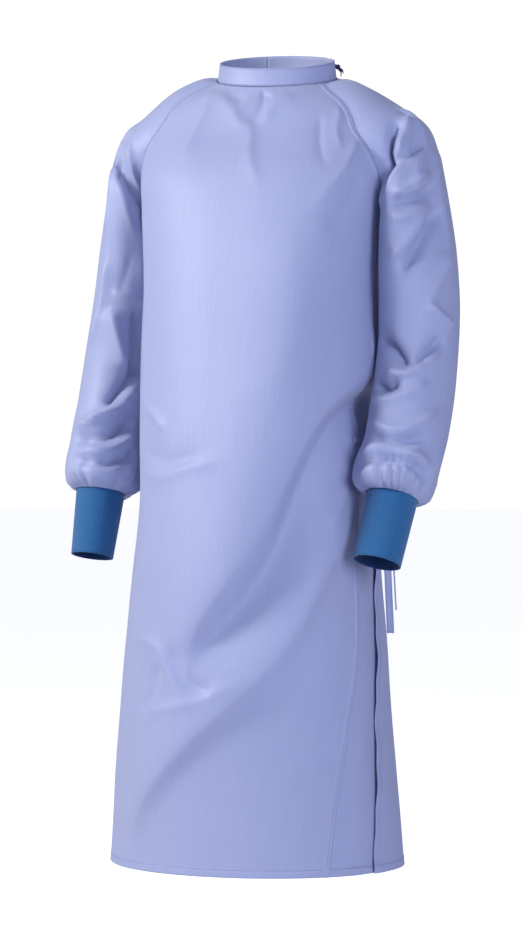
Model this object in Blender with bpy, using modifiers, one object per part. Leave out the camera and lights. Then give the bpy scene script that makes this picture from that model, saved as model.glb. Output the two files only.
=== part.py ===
"""Cover gown: a reusable wrap-round theatre gown, worn form and empty.

The front faces -Y, the wearer's left is +X and the hem hangs towards -Z.
The origin is the middle of the neck, at the height of the neck seam on the shoulder.
Every panel is an open sheet of points worked out from the tables below,
and a Solidify modifier gives it the thickness of the cloth.
"""
import math

import bmesh
import bpy
import numpy as np
from mathutils import Matrix

# Driving dimensions, in metres
HEM_DROP = 1.200
WALL = 0.0012
SEAM_GAP = 0.0007
SLEEVE_LIFT = 0.0004
LAYER_STEP = 0.0062
BAND_HEIGHT = 0.028
BAND_WALL = 0.0016
BAND_GAP = 0.0003
CUFF_WALL = 0.0018
CUFF_TUCK = 0.0030
TIE_WIDTH = 0.012
TIE_WALL = 0.0014
TAPE_WIDTH = 0.005
TAPE_WALL = 0.0011
TIE_GAP = 0.0004

# Finishes: colour and roughness
CLOTH = ((0.40, 0.43, 0.70), 0.7)
KNIT = ((0.04, 0.16, 0.45), 0.85)
TAPE = ((0.022, 0.020, 0.12), 0.8)

# How far round the body the hidden end of the under layer reaches, in degrees
UNDER_LAYER_END = 118.0
# Where the over layer's front edge starts to lift the cloth below it, in degrees
LAYER_RAMP = 9.0
# Steps, in degrees, metres and shares of a sleeve, over which outward directions are measured
TURN_STEP = 0.5
DROP_STEP = 0.002
SLEEVE_STEP = 0.004
# Radius that turns degrees round the body into metres along it
BODY_REACH = 0.190
# Share of the shoulder over which a sleeve settles on to the neck seam
NECK_FADE = 0.30

# Horizontal sections of the body, neck to hem. Turn 0 is the wearer's left side,
# -90 the front and 90 the back. Tilt and lean slope a section with y and with x.
BODY_COLUMNS = "drop width front back x y square tilt lean"
BODY_ROWS = (
    (0.000, 0.0945, 0.0780, 0.0760, -0.001, 0.000, 2.00, 0.25, -0.060),
    (0.020, 0.1400, 0.0930, 0.0870, 0.000, -0.003, 2.30, 0.23, -0.070),
    (0.075, 0.1860, 0.1150, 0.1150, 0.000, -0.016, 2.50, 0.17, -0.060),
    (0.135, 0.1980, 0.1370, 0.1420, -0.001, -0.032, 2.50, 0.08, -0.030),
    (0.205, 0.1900, 0.1480, 0.1570, -0.002, -0.044, 2.45, 0.00, 0.000),
    (0.300, 0.1811, 0.1620, 0.1600, -0.002, -0.050, 2.40, 0.00, 0.000),
    (0.436, 0.1797, 0.1800, 0.1600, -0.002, -0.055, 2.35, 0.00, 0.000),
    (0.560, 0.1779, 0.1960, 0.1600, 0.000, -0.060, 2.30, 0.00, 0.000),
    (0.650, 0.1755, 0.1990, 0.1620, 0.001, -0.066, 2.25, 0.00, 0.000),
    (0.772, 0.1864, 0.1970, 0.1700, 0.000, -0.074, 2.20, 0.00, 0.000),
    (0.864, 0.1962, 0.1970, 0.1760, 0.000, -0.076, 2.15, 0.00, 0.000),
    (0.955, 0.2039, 0.1970, 0.1810, -0.001, -0.077, 2.10, 0.00, 0.000),
    (1.047, 0.2137, 0.1950, 0.1850, -0.001, -0.079, 2.05, 0.00, 0.000),
    (1.138, 0.2224, 0.1940, 0.1890, 0.000, -0.080, 2.00, 0.00, 0.000),
    (1.200, 0.2277, 0.1940, 0.1900, 0.000, -0.080, 2.00, 0.00, 0.000),
)

# Raglan seams, from the neck (along 0) to the underarm (along 1)
SEAM_COLUMNS = "along drop front_turn back_turn"
SEAM_ROWS = (
    (0.00, 0.000, -23.0, 32.0),
    (0.25, 0.020, -31.0, 35.0),
    (0.50, 0.075, -31.0, 35.0),
    (0.75, 0.135, -16.0, 25.0),
    (1.00, 0.205, 3.0, 3.0),
)

# The shoulder line and outer edge of the left sleeve, and the depth of each section.
# Opening is the half angle that the section leaves open towards the body.
SLEEVE_COLUMNS = "along x y z front back opening pitch"
SLEEVE_ROWS = (
    (0.00, 0.0945, 0.006, 0.0016, 0.077, 0.075, 157.0, 0.00),
    (0.10, 0.1150, 0.004, 0.0030, 0.078, 0.078, 140.0, 0.00),
    (0.25, 0.1490, 0.002, -0.0100, 0.080, 0.080, 118.0, 0.00),
    (0.50, 0.2040, 0.000, -0.0460, 0.090, 0.090, 98.0, 0.00),
    (0.75, 0.2470, -0.002, -0.0860, 0.090, 0.090, 80.0, 0.00),
    (0.88, 0.2580, -0.003, -0.1160, 0.086, 0.086, 56.0, 0.00),
    (1.00, 0.2660, -0.004, -0.1500, 0.084, 0.083, 0.0, 0.00),
    (1.04, 0.2760, -0.006, -0.1950, 0.081, 0.080, 0.0, 0.00),
    (1.08, 0.2860, -0.008, -0.2450, 0.079, 0.078, 0.0, 0.00),
    (1.16, 0.2970, -0.014, -0.3300, 0.077, 0.075, 0.0, -0.02),
    (1.25, 0.3050, -0.033, -0.4250, 0.073, 0.072, 0.0, -0.10),
    (1.32, 0.3080, -0.052, -0.5000, 0.071, 0.070, 0.0, -0.22),
    (1.38, 0.3080, -0.078, -0.5600, 0.067, 0.066, 0.0, -0.32),
    (1.42, 0.3030, -0.100, -0.6050, 0.062, 0.061, 0.0, -0.34),
    (1.44, 0.2980, -0.112, -0.6280, 0.054, 0.053, 0.0, -0.34),
    (1.455, 0.2870, -0.116, -0.6340, 0.0415, 0.0415, 0.0, -0.34),
)

# The inner edge of the left sleeve below the underarm
INNER_COLUMNS = "along x y z"
INNER_ROWS = (
    (1.00, 0.1880, -0.036, -0.2050),
    (1.02, 0.1905, -0.036, -0.2190),
    (1.04, 0.1895, -0.038, -0.2350),
    (1.08, 0.1866, -0.035, -0.2750),
    (1.16, 0.1860, -0.032, -0.3450),
    (1.25, 0.1880, -0.041, -0.4350),
    (1.32, 0.1892, -0.058, -0.5000),
    (1.38, 0.1895, -0.078, -0.5580),
    (1.42, 0.1880, -0.100, -0.6010),
    (1.44, 0.1930, -0.112, -0.6230),
    (1.455, 0.2045, -0.116, -0.6310),
)
SLEEVE_END = 1.455

# Each arm: its sign along X, the middle of the cuff's two ends, and the cuff's half widths
# across and ahead at each end
ARMS = {
    "left": {
        "sign": 1.0,
        "cuff_top": (0.2370, -0.1280, -0.6445),
        "cuff_end": (0.2264, -0.1651, -0.7408),
        "top_radii": (0.0385, 0.0370),
        "end_radii": (0.0365, 0.0335),
    },
    "right": {
        "sign": -1.0,
        "cuff_top": (-0.2514, -0.1100, -0.6383),
        "cuff_end": (-0.2550, -0.1322, -0.7372),
        "top_radii": (0.0380, 0.0370),
        "end_radii": (0.0325, 0.0330),
    },
}
# Where a forearm starts to turn towards its cuff, and where it meets the cuff's own ring
WRIST_BEND_START = 1.16
WRIST_RING_START = 1.435
# Length below the underarm over which the inner edge leaves the body
UNDERARM_FADE = 0.14

# The front edge of the over layer, round the wearer's left side
EDGE_COLUMNS = "drop turn"
EDGE_ROWS = (
    (0.000, 46.0),
    (0.075, 49.0),
    (0.205, 48.0),
    (0.300, 40.0),
    (0.450, 24.0),
    (0.600, 12.0),
    (0.760, 2.5),
    (0.955, -7.0),
    (1.200, -20.0),
)

# The side seams below the underarm: turn on the wearer's left and right
SIDE_COLUMNS = "drop left right"
SIDE_ROWS = (
    (0.205, 3.0, 177.0),
    (0.450, -4.0, 184.0),
    (0.700, -11.0, 190.0),
    (0.880, -18.0, 195.0),
    (1.020, -30.0, 198.0),
    (1.110, -37.0, 200.0),
    (1.200, -42.5, 202.0),
)

# The folds. Height is how far one stands out in millimetres (a trough is negative), and left
# and right are half its spread, in millimetres, on each side of a path that runs down the
# wearer's left half. The path goes through its places, u and v.
FOLD_COLUMNS = "height left right path"

# On the body, u is a turn in degrees and v a drop in metres
BODY_FOLDS = (
    (21.0, 115.0, 75.0, ((-36.0, 0.060), (-53.0, 0.335), (-73.5, 0.620), (-98.0, 0.915), (-126.0, 1.220))),
    (5.0, 40.0, 30.0, ((-60.0, 0.240), (-60.0, 0.400), (-66.0, 0.530))),
    (12.0, 80.0, 15.0, ((30.0, 0.410), (6.0, 0.440), (-30.0, 0.496), (-44.5, 0.544), (-54.0, 0.604),
                        (-68.0, 0.710), (-91.0, 0.828), (-95.5, 0.888))),
    (-14.0, 15.0, 48.0, ((34.0, 0.470), (10.0, 0.490), (-20.0, 0.516), (-35.5, 0.560), (-46.5, 0.620),
                         (-62.5, 0.736), (-86.0, 0.852), (-92.0, 0.916))),
    (12.0, 42.0, 15.0, ((-9.0, 0.660), (-19.5, 0.692), (-33.0, 0.740), (-49.5, 0.828), (-64.5, 0.896),
                        (-90.0, 0.984), (-119.0, 1.104), (-128.5, 1.172))),
    (3.0, 9.0, 12.0, ((-18.0, 0.620), (-22.0, 0.648), (-33.5, 0.692))),
    (6.0, 10.0, 10.0, ((-126.5, 0.876), (-113.5, 0.860), (-107.5, 0.872), (-101.5, 0.904), (-95.0, 0.940))),
    (-6.0, 16.0, 12.0, ((-107.0, 0.896), (-112.0, 0.928), (-115.5, 0.956))),
    (-5.0, 9.0, 9.0, ((-99.5, 0.890), (-96.5, 0.908), (-91.0, 0.924))),
    (4.0, 8.0, 8.0, ((-116.5, 0.964), (-105.0, 0.952), (-95.0, 0.944), (-85.0, 0.932))),
    (6.0, 13.0, 10.0, ((-31.0, 0.080), (-36.5, 0.128), (-41.0, 0.164), (-53.5, 0.232))),
    (-4.0, 12.0, 26.0, ((-27.0, 0.150), (-33.0, 0.212), (-45.5, 0.260))),
    (5.0, 14.0, 6.0, ((-147.0, 0.000), (-104.0, 0.024), (-92.0, 0.056), (-88.5, 0.072), (-86.0, 0.120),
                      (-77.5, 0.196))),
    (-4.0, 6.0, 6.0, ((-84.0, 0.004), (-86.5, 0.032), (-89.0, 0.064))),
    (4.0, 14.0, 12.0, ((-139.0, 0.008), (-114.5, 0.028), (-111.5, 0.084), (-112.5, 0.136))),
    (4.0, 12.0, 8.0, ((-60.0, 0.006), (-74.5, 0.020), (-81.0, 0.032), (-86.5, 0.064))),
    (-3.0, 5.0, 5.0, ((-112.5, 0.008), (-101.0, 0.016), (-93.0, 0.024))),
    (-2.5, 5.0, 5.0, ((-86.5, 0.003), (-83.5, 0.010), (-79.0, 0.018))),
    (3.0, 8.0, 8.0, ((-37.5, 0.028), (-46.0, 0.068), (-44.0, 0.108))),
    (-3.0, 10.0, 8.0, ((-53.5, 0.040), (-56.5, 0.088), (-50.0, 0.144))),
    (3.5, 8.0, 8.0, ((-137.0, 0.600), (-115.0, 0.616), (-98.5, 0.604), (-82.0, 0.592))),
    (-3.5, 10.0, 10.0, ((-131.5, 0.576), (-107.5, 0.592), (-90.0, 0.580))),
    (3.5, 8.0, 8.0, ((-139.0, 0.496), (-121.5, 0.524), (-111.0, 0.548))),
    (9.0, 34.0, 16.0, ((34.0, 0.570), (76.5, 0.668), (122.0, 0.820))),
    (-9.0, 16.0, 26.0, ((40.0, 0.610), (72.0, 0.745), (104.0, 0.930))),
    (10.0, 46.0, 18.0, ((60.0, 0.280), (75.0, 0.420), (84.0, 0.560))),
    (10.0, 40.0, 18.0, ((92.0, 0.780), (104.0, 0.972), (100.0, 1.190))),
    (-9.0, 18.0, 34.0, ((122.0, 0.700), (132.0, 0.942), (130.0, 1.190))),
    (9.0, 18.0, 34.0, ((172.0, 0.420), (161.5, 0.630), (146.0, 0.860))),
    (8.0, 20.0, 30.0, ((186.0, 0.820), (176.0, 1.002), (166.0, 1.190))),
    (7.0, 16.0, 28.0, ((44.0, 0.860), (41.5, 1.022), (46.0, 1.190))),
    (-7.0, 20.0, 30.0, ((72.0, 0.110), (85.0, 0.232), (84.0, 0.380))),
    (6.0, 18.0, 30.0, ((118.0, 0.110), (113.5, 0.252), (120.0, 0.400))),
    (-5.0, 10.0, 20.0, ((60.0, 0.030), (72.0, 0.070), (74.0, 0.130))),
    (4.0, 12.0, 9.0, ((140.0, 0.010), (122.0, 0.040), (112.0, 0.110))),
    (-5.0, 9.0, 16.0, ((196.0, 0.300), (190.0, 0.360), (172.0, 0.400))),
    (5.0, 10.0, 10.0, ((58.0, 0.640), (66.0, 0.720), (84.0, 0.780))),
)

# On a sleeve, u is the share of the way round and v the place along it
SLEEVE_FOLDS = {
    "left": (
        (9.0, 9.0, 26.0, ((0.425, 0.637), (0.250, 0.706), (0.156, 0.900))),
        (-12.0, 12.0, 10.0, ((0.319, 0.647), (0.150, 0.774), (0.180, 1.007))),
        (8.0, 9.0, 9.0, ((0.231, 1.012), (0.325, 1.022), (0.438, 1.002))),
        (-7.0, 8.0, 8.0, ((0.213, 1.027), (0.325, 1.037), (0.456, 1.022))),
        (6.0, 9.0, 9.0, ((0.206, 1.046), (0.306, 1.056), (0.419, 1.046))),
        (-11.0, 14.0, 10.0, ((0.469, 1.046), (0.363, 1.085), (0.250, 1.139))),
        (6.0, 12.0, 12.0, ((0.394, 1.056), (0.300, 1.085), (0.200, 1.109))),
        (6.0, 16.0, 12.0, ((0.450, 1.105), (0.406, 1.148), (0.312, 1.207))),
        (-12.0, 13.0, 11.0, ((0.094, 1.217), (0.213, 1.246), (0.306, 1.280))),
        (9.0, 11.0, 10.0, ((0.344, 1.187), (0.425, 1.212), (0.525, 1.226))),
        (-9.0, 8.0, 8.0, ((0.425, 1.231), (0.363, 1.255), (0.312, 1.275))),
        (9.0, 9.0, 8.0, ((0.181, 1.280), (0.269, 1.290), (0.331, 1.280), (0.419, 1.251))),
        (-10.0, 11.0, 10.0, ((0.119, 1.294), (0.188, 1.309), (0.275, 1.299))),
        (7.0, 12.0, 11.0, ((0.106, 1.324), (0.250, 1.328), (0.388, 1.299))),
        (7.0, 9.0, 8.0, ((0.138, 1.358), (0.244, 1.377), (0.306, 1.377), (0.369, 1.363), (0.469, 1.324))),
        (-8.0, 8.0, 8.0, ((0.144, 1.377), (0.250, 1.392), (0.319, 1.392), (0.419, 1.377))),
        (8.0, 8.0, 7.0, ((0.125, 1.406), (0.263, 1.401), (0.350, 1.406), (0.469, 1.411))),
        (-7.0, 6.0, 6.0, ((0.125, 1.421), (0.263, 1.416), (0.350, 1.416), (0.463, 1.426))),
        (6.0, 6.0, 6.0, ((0.125, 1.431), (0.269, 1.426), (0.344, 1.426), (0.444, 1.436))),
        (-8.0, 14.0, 12.0, ((0.560, 1.200), (0.670, 1.232), (0.800, 1.250))),
        (8.0, 12.0, 10.0, ((0.520, 1.120), (0.640, 1.145), (0.760, 1.140))),
        (8.0, 10.0, 9.0, ((0.540, 1.290), (0.680, 1.320), (0.840, 1.300))),
        (-8.0, 9.0, 8.0, ((0.560, 1.320), (0.700, 1.345), (0.860, 1.330))),
        (7.0, 8.0, 8.0, ((0.540, 1.362), (0.680, 1.375), (0.880, 1.360))),
        (-7.0, 7.0, 7.0, ((0.520, 1.385), (0.700, 1.397), (0.900, 1.385))),
        (7.0, 7.0, 7.0, ((0.540, 1.410), (0.720, 1.418), (0.900, 1.408))),
        (-7.0, 13.0, 15.0, ((0.670, 0.780), (0.750, 0.880), (0.790, 1.010))),
        (7.0, 14.0, 10.0, ((0.560, 0.800), (0.640, 0.960), (0.700, 1.060))),
        (-6.0, 12.0, 12.0, ((0.960, 1.100), (0.900, 1.160), (0.860, 1.240))),
    ),
    "right": (
        (-10.0, 10.0, 12.0, ((0.219, 0.820), (0.110, 0.915), (0.081, 1.007))),
        (8.0, 10.0, 10.0, ((0.200, 0.676), (0.060, 0.780), (0.030, 0.900))),
        (7.0, 12.0, 12.0, ((0.230, 0.920), (0.163, 1.022), (0.106, 1.051))),
        (-6.0, 10.0, 12.0, ((0.144, 1.075), (0.175, 1.119), (0.213, 1.163))),
        (6.0, 12.0, 10.0, ((0.275, 1.090), (0.281, 1.168), (0.331, 1.246))),
        (9.0, 11.0, 22.0, ((0.231, 1.173), (0.188, 1.226), (0.138, 1.280))),
        (-12.0, 14.0, 12.0, ((0.119, 1.160), (0.113, 1.221), (0.113, 1.275))),
        (-8.0, 8.0, 9.0, ((0.070, 1.250), (0.156, 1.309), (0.206, 1.343))),
        (7.0, 9.0, 9.0, ((0.081, 1.294), (0.169, 1.343), (0.269, 1.372))),
        (8.0, 9.0, 8.0, ((0.356, 1.377), (0.250, 1.367), (0.181, 1.353), (0.088, 1.324))),
        (-8.0, 8.0, 7.0, ((0.331, 1.392), (0.231, 1.392), (0.144, 1.382), (0.075, 1.348))),
        (8.0, 7.0, 7.0, ((0.338, 1.406), (0.194, 1.411), (0.125, 1.397), (0.050, 1.367))),
        (-7.0, 7.0, 6.0, ((0.312, 1.421), (0.194, 1.426), (0.094, 1.416), (0.044, 1.392))),
        (7.0, 7.0, 7.0, ((0.344, 1.431), (0.231, 1.431), (0.144, 1.431), (0.050, 1.411))),
        (-8.0, 14.0, 12.0, ((0.440, 1.200), (0.610, 1.228), (0.800, 1.230))),
        (8.0, 12.0, 10.0, ((0.460, 1.100), (0.630, 1.132), (0.780, 1.130))),
        (8.0, 10.0, 9.0, ((0.470, 1.290), (0.650, 1.312), (0.840, 1.300))),
        (-8.0, 9.0, 8.0, ((0.480, 1.325), (0.660, 1.342), (0.860, 1.330))),
        (7.0, 8.0, 8.0, ((0.470, 1.358), (0.680, 1.372), (0.880, 1.360))),
        (-7.0, 7.0, 7.0, ((0.480, 1.383), (0.700, 1.395), (0.900, 1.386))),
        (7.0, 7.0, 7.0, ((0.500, 1.408), (0.720, 1.417), (0.900, 1.409))),
        (-10.0, 12.0, 14.0, ((0.640, 0.700), (0.760, 0.860), (0.800, 1.010))),
        (7.0, 14.0, 10.0, ((0.560, 0.800), (0.640, 0.960), (0.700, 1.060))),
    ),
}
# Metres round a sleeve and down its shoulder, which turn its u and v into distances
SLEEVE_GIRTH = 0.38
SHOULDER_LENGTH = 0.26
# Gathers of a sleeve into its cuff
GATHERS = 7
GATHER_DEPTH = 0.0035
GATHER_START = 1.37
GATHER_RISE = 0.05
GATHER_FADE = 0.03
# How far a fold fades out short of a seam
SEAM_CALM = 0.020
# Length over which folds start below the neck, below the underarm and above the cuff
NECK_CALM = 0.15
UNDERARM_CALM = 0.03
CUFF_CALM = 0.012
# Pieces between two places of a fold's path, the share of it that tapers,
# how much is left at its ends, and how many widths away it is still felt
FOLD_PIECES = 3
FOLD_TAPER = 0.28
FOLD_END = 0.10
FOLD_REACH = 2.6
# The narrowest fold that each mesh can hold, in metres
BODY_FINEST = 0.022
SLEEVE_FINEST = 0.013

# The over layer stands off near its front edge
EDGE_LIFT = 0.0035
EDGE_LIFT_TURN = 14.0
EDGE_LIFT_START = 0.45
EDGE_LIFT_RISE = 0.15
EDGE_WAVE = 0.0012
EDGE_WAVE_LENGTH = 0.17

# The waist tie: its knot, where its two straps are sewn on, and how long its ends hang
KNOT_TURN = 11.0
KNOT_DROP = 0.560
# Sizes outwards, round the body and upwards
KNOT_SIZE = (0.0135, 0.012, 0.015)
# How far a rounded block reaches, as a share of its size
KNOT_ROUND = 0.84
FRONT_STRAP_TURN = -13.0
BACK_STRAP_TURN = 36.0
STRAP_CLEAR = 0.0022
STRAP_PIECES = 8
# Share of a strap's length over which it rises to the knot
STRAP_RISE = 0.4
# Which way the hanging ends face, as a turn
END_FACING = 23.0
# Each end: how far down it hangs, where it leaves the knot (outwards, forwards and upwards),
# how far its foot stands out from its top, and how far its width turns from facing outwards
TIE_ENDS = (
    ("waist_tie_long_end", 0.292, (0.0013, 0.0000, 0.0000), 0.0130, 4.0),
    ("waist_tie_short_end", 0.256, (0.0083, -0.0040, 0.0030), 0.0145, 84.0),
)
END_PIECES = 7
END_SWAY = 0.003
# Share of the tie's width that a hanging end shows, since it folds along its length
END_FOLD = 0.92

# The neck tie: turns of its knot and of the start of its tape on the band
NECK_KNOT_TURN = 21.0
NECK_TAPE_TURN = 52.0
NECK_KNOT_SIZE = (0.0042, 0.0036, 0.0040)
TAPE_HEIGHT = 0.0175
# How each end of the tape falls away from the knot
NECK_ENDS = (
    ("neck_tie_long_end", (0.007, -0.007, -0.012)),
    ("neck_tie_short_end", (0.003, 0.009, -0.006)),
)
NECK_END_SHARE = 0.98
NECK_END_PIECES = 3
NECK_END_DROOP = 0.002
# How far from the knot's middle the tape stops, in degrees
NECK_KNOT_REACH = 2.3

# Rows of points down the panels, and columns across each
UPPER_STEPS = (0.0, 0.10, 0.25, 0.38, 0.50, 0.62, 0.75, 0.85, 0.93, 1.0)
LOWER_STEP = 0.045
FRONT_COLUMNS = 24
RIGHT_BACK_COLUMNS = 18
LEFT_BACK_COLUMNS = 9
SLEEVE_COLUMNS_ROUND = 28
SLEEVE_LOWER_STEPS = (1.03, 1.07, 1.11, 1.15, 1.185, 1.22, 1.255, 1.29, 1.32, 1.345,
                      1.368, 1.389, 1.408, 1.425, 1.441, 1.455)
BAND_COLUMNS = 50
BAND_ROWS = 2
CUFF_COLUMNS = 28
CUFF_ROWS = 2
# How far the band's rim draws in, as a share of the neck
BAND_LEAN = 0.035


def table(names, rows):
    """Columns of a table as arrays, by name."""
    return {name: np.array([row[place] for row in rows]) for place, name in enumerate(names.split())}


def curve(keys, values, at):
    """Read values at places between their keys, along a smooth curve."""
    slopes = np.gradient(values, keys)
    at = np.clip(np.asarray(at, dtype=float), keys[0], keys[-1])
    start = np.clip(np.searchsorted(keys, at, side="right") - 1, 0, len(keys) - 2)
    span = keys[start + 1] - keys[start]
    part = (at - keys[start]) / span
    blend = part * part * (3 - 2 * part)
    lead = part * (1 - part) ** 2 * span
    trail = part * part * (part - 1) * span
    ends = values[start] * (1 - blend) + values[start + 1] * blend
    return ends + slopes[start] * lead + slopes[start + 1] * trail


def read(columns, name, at):
    """Read a column at places between its rows."""
    return curve(columns[columns["key"]], columns[name], at)


def keyed(names, rows):
    """A table whose first column is the one it is read along."""
    columns = table(names, rows)
    columns["key"] = names.split()[0]
    return columns


BODY = keyed(BODY_COLUMNS, BODY_ROWS)
SEAM = keyed(SEAM_COLUMNS, SEAM_ROWS)
SLEEVE = keyed(SLEEVE_COLUMNS, SLEEVE_ROWS)
INNER = keyed(INNER_COLUMNS, INNER_ROWS)
EDGE = keyed(EDGE_COLUMNS, EDGE_ROWS)
SIDE = keyed(SIDE_COLUMNS, SIDE_ROWS)


def ease(value):
    """A smooth step from 0 to 1."""
    value = np.clip(value, 0.0, 1.0)
    return value * value * (3 - 2 * value)


def body_base(turn, drop, inset):
    """Points of the body before its folds, for a turn in degrees and a drop in metres."""
    angle = np.radians(turn)
    power = 2.0 / read(BODY, "square", drop)
    across = np.sign(np.cos(angle)) * np.abs(np.cos(angle)) ** power
    ahead = np.sign(np.sin(angle)) * np.abs(np.sin(angle)) ** power
    depth = np.where(ahead < 0, read(BODY, "front", drop), read(BODY, "back", drop))
    x = read(BODY, "x", drop) + (read(BODY, "width", drop) - inset) * across
    y = read(BODY, "y", drop) + (depth - inset) * ahead
    z = -drop + read(BODY, "tilt", drop) * y + read(BODY, "lean", drop) * x
    return np.stack([x, y, z], axis=-1)


def body_normal(turn, drop, inset):
    """Outward directions of the body."""
    around = body_base(turn + TURN_STEP, drop, inset) - body_base(turn - TURN_STEP, drop, inset)
    low = np.minimum(drop + DROP_STEP, HEM_DROP)
    high = np.maximum(drop - DROP_STEP, 0.0)
    down = body_base(turn, low, inset) - body_base(turn, high, inset)
    normal = np.cross(down, around)
    return normal / np.linalg.norm(normal, axis=-1, keepdims=True)


def fold_path(places):
    """Places along a smooth path through those given."""
    keys = np.arange(len(places), dtype=float)
    at = np.linspace(0.0, keys[-1], FOLD_PIECES * (len(places) - 1) + 1)
    return (curve(keys, np.array([place[0] for place in places]), at),
            curve(keys, np.array([place[1] for place in places]), at))


def fold_height(folds, u, v, metres, finest):
    """Height of all the folds of a table at places u, v. The metres function gives the
    distances along u and v between two places. A fold narrower than the finest width is
    spread to it and lowered as much."""
    u, v = np.broadcast_arrays(u, v)
    total = np.zeros(u.shape)
    for row in folds:
        fold = dict(zip(FOLD_COLUMNS.split(), row))
        path_u, path_v = fold_path(fold["path"])
        reach = FOLD_REACH * max(fold["left"] / 1000.0, fold["right"] / 1000.0, finest)
        middle = len(path_u) // 2
        far_u, far_v = metres(path_u[middle], path_v[middle], u, v)
        span_u, span_v = metres(path_u[middle], path_v[middle], path_u, path_v)
        close_by = np.abs(far_u) < np.abs(span_u).max() + reach
        close_by &= np.abs(far_v) < np.abs(span_v).max() + reach
        near_u, near_v = u[close_by], v[close_by]
        nearest = np.full(near_u.shape, np.inf)
        place = np.zeros(near_u.shape)
        leftness = np.zeros(near_u.shape)
        pieces = len(path_u) - 1
        for piece in range(pieces):
            to_u, to_v = metres(path_u[piece], path_v[piece], near_u, near_v)
            run_u, run_v = metres(path_u[piece], path_v[piece], path_u[piece + 1], path_v[piece + 1])
            part = np.clip((to_u * run_u + to_v * run_v) / (run_u ** 2 + run_v ** 2), 0.0, 1.0)
            off_u = to_u - part * run_u
            off_v = to_v - part * run_v
            gap = np.hypot(off_u, off_v)
            closer = gap < nearest
            nearest = np.where(closer, gap, nearest)
            place = np.where(closer, (piece + part) / pieces, place)
            side = (run_u * off_v - run_v * off_u) / (np.hypot(run_u, run_v) * gap + 1e-9)
            leftness = np.where(closer, side, leftness)
        taper = ease(place / FOLD_TAPER) * ease((1.0 - place) / FOLD_TAPER)
        width = fold["right"] + (fold["left"] - fold["right"]) * ease(0.5 + 0.5 * leftness)
        width = width / 1000.0
        spread = np.maximum(width, finest)
        rounded = np.exp(-((nearest / spread) ** 2)) * width / spread
        total[close_by] += fold["height"] / 1000.0 * rounded * (FOLD_END + (1.0 - FOLD_END) * taper)
    return total


def body_metres(from_u, from_v, to_u, to_v):
    """Distances between two places on the body."""
    around = (np.asarray(to_u) - from_u + 180.0) % 360.0 - 180.0
    return np.radians(around) * BODY_REACH, np.asarray(to_v) - from_v


def sleeve_length(along):
    """Metres down a sleeve from its underarm."""
    return np.where(along < 1.0, (along - 1.0) * SHOULDER_LENGTH, along - 1.0)


def sleeve_metres(from_u, from_v, to_u, to_v):
    """Distances between two places on a sleeve."""
    down = sleeve_length(np.asarray(to_v)) - sleeve_length(np.asarray(from_v))
    return (np.asarray(to_u) - from_u) * SLEEVE_GIRTH, down


def body(turn, drop, inset=0.0, lift=0.0):
    """Points of the body cloth with its folds."""
    turn, drop, inset, lift = np.broadcast_arrays(turn, drop, inset, lift)
    points = body_base(turn, drop, inset)
    height = fold_height(BODY_FOLDS, turn, drop, body_metres, BODY_FINEST)
    return points + body_normal(turn, drop, inset) * (height * ease(drop / SEAM_CALM) + lift)[..., None]


def neck_turn(side, around):
    """Turn of each column of a sleeve where it meets the neck seam."""
    front_turn = SEAM_ROWS[0][2]
    back_turn = SEAM_ROWS[0][3]
    turn = front_turn + (back_turn - front_turn) * around
    return turn if ARMS[side]["sign"] > 0 else 180.0 - turn


def wrist_ring(side, around, spare):
    """A ring round the top of a cuff, standing off it by a spare width."""
    arm = ARMS[side]
    top = np.array(arm["cuff_top"])
    axis = np.array(arm["cuff_end"]) - top
    axis /= np.linalg.norm(axis)
    inward = np.array([-arm["sign"], 0.0, 0.0])
    inward -= axis * inward.dot(axis)
    inward /= np.linalg.norm(inward)
    ahead = np.array([0.0, -1.0, 0.0])
    ahead -= axis * ahead.dot(axis)
    ahead -= inward * ahead.dot(inward)
    ahead /= np.linalg.norm(ahead)
    angle = np.asarray(around) * 2.0 * math.pi
    across, deep = arm["top_radii"]
    ring = np.cos(angle)[..., None] * inward * (across + spare)
    return top + ring + np.sin(angle)[..., None] * ahead * (deep + spare)


def to_wrist(side, around, along, points):
    """Swing the forearm to where its cuff is, and end the sleeve in a ring round the cuff."""
    arm = ARMS[side]
    first = np.array([arm["sign"], 1.0, 1.0])
    end_inner = np.array(INNER_ROWS[-1][1:])
    end_outer = np.array(SLEEVE_ROWS[-1][1:4])
    shift = np.array(arm["cuff_top"]) - (end_inner + end_outer) / 2 * first
    swing = ease((along - WRIST_BEND_START) / (SLEEVE_END - WRIST_BEND_START))
    moved = points + shift * swing[..., None]
    ring = wrist_ring(side, around, WALL)
    closing = ease((along - WRIST_RING_START) / (SLEEVE_END - WRIST_RING_START))
    return moved + (ring - moved) * closing[..., None]


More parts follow.
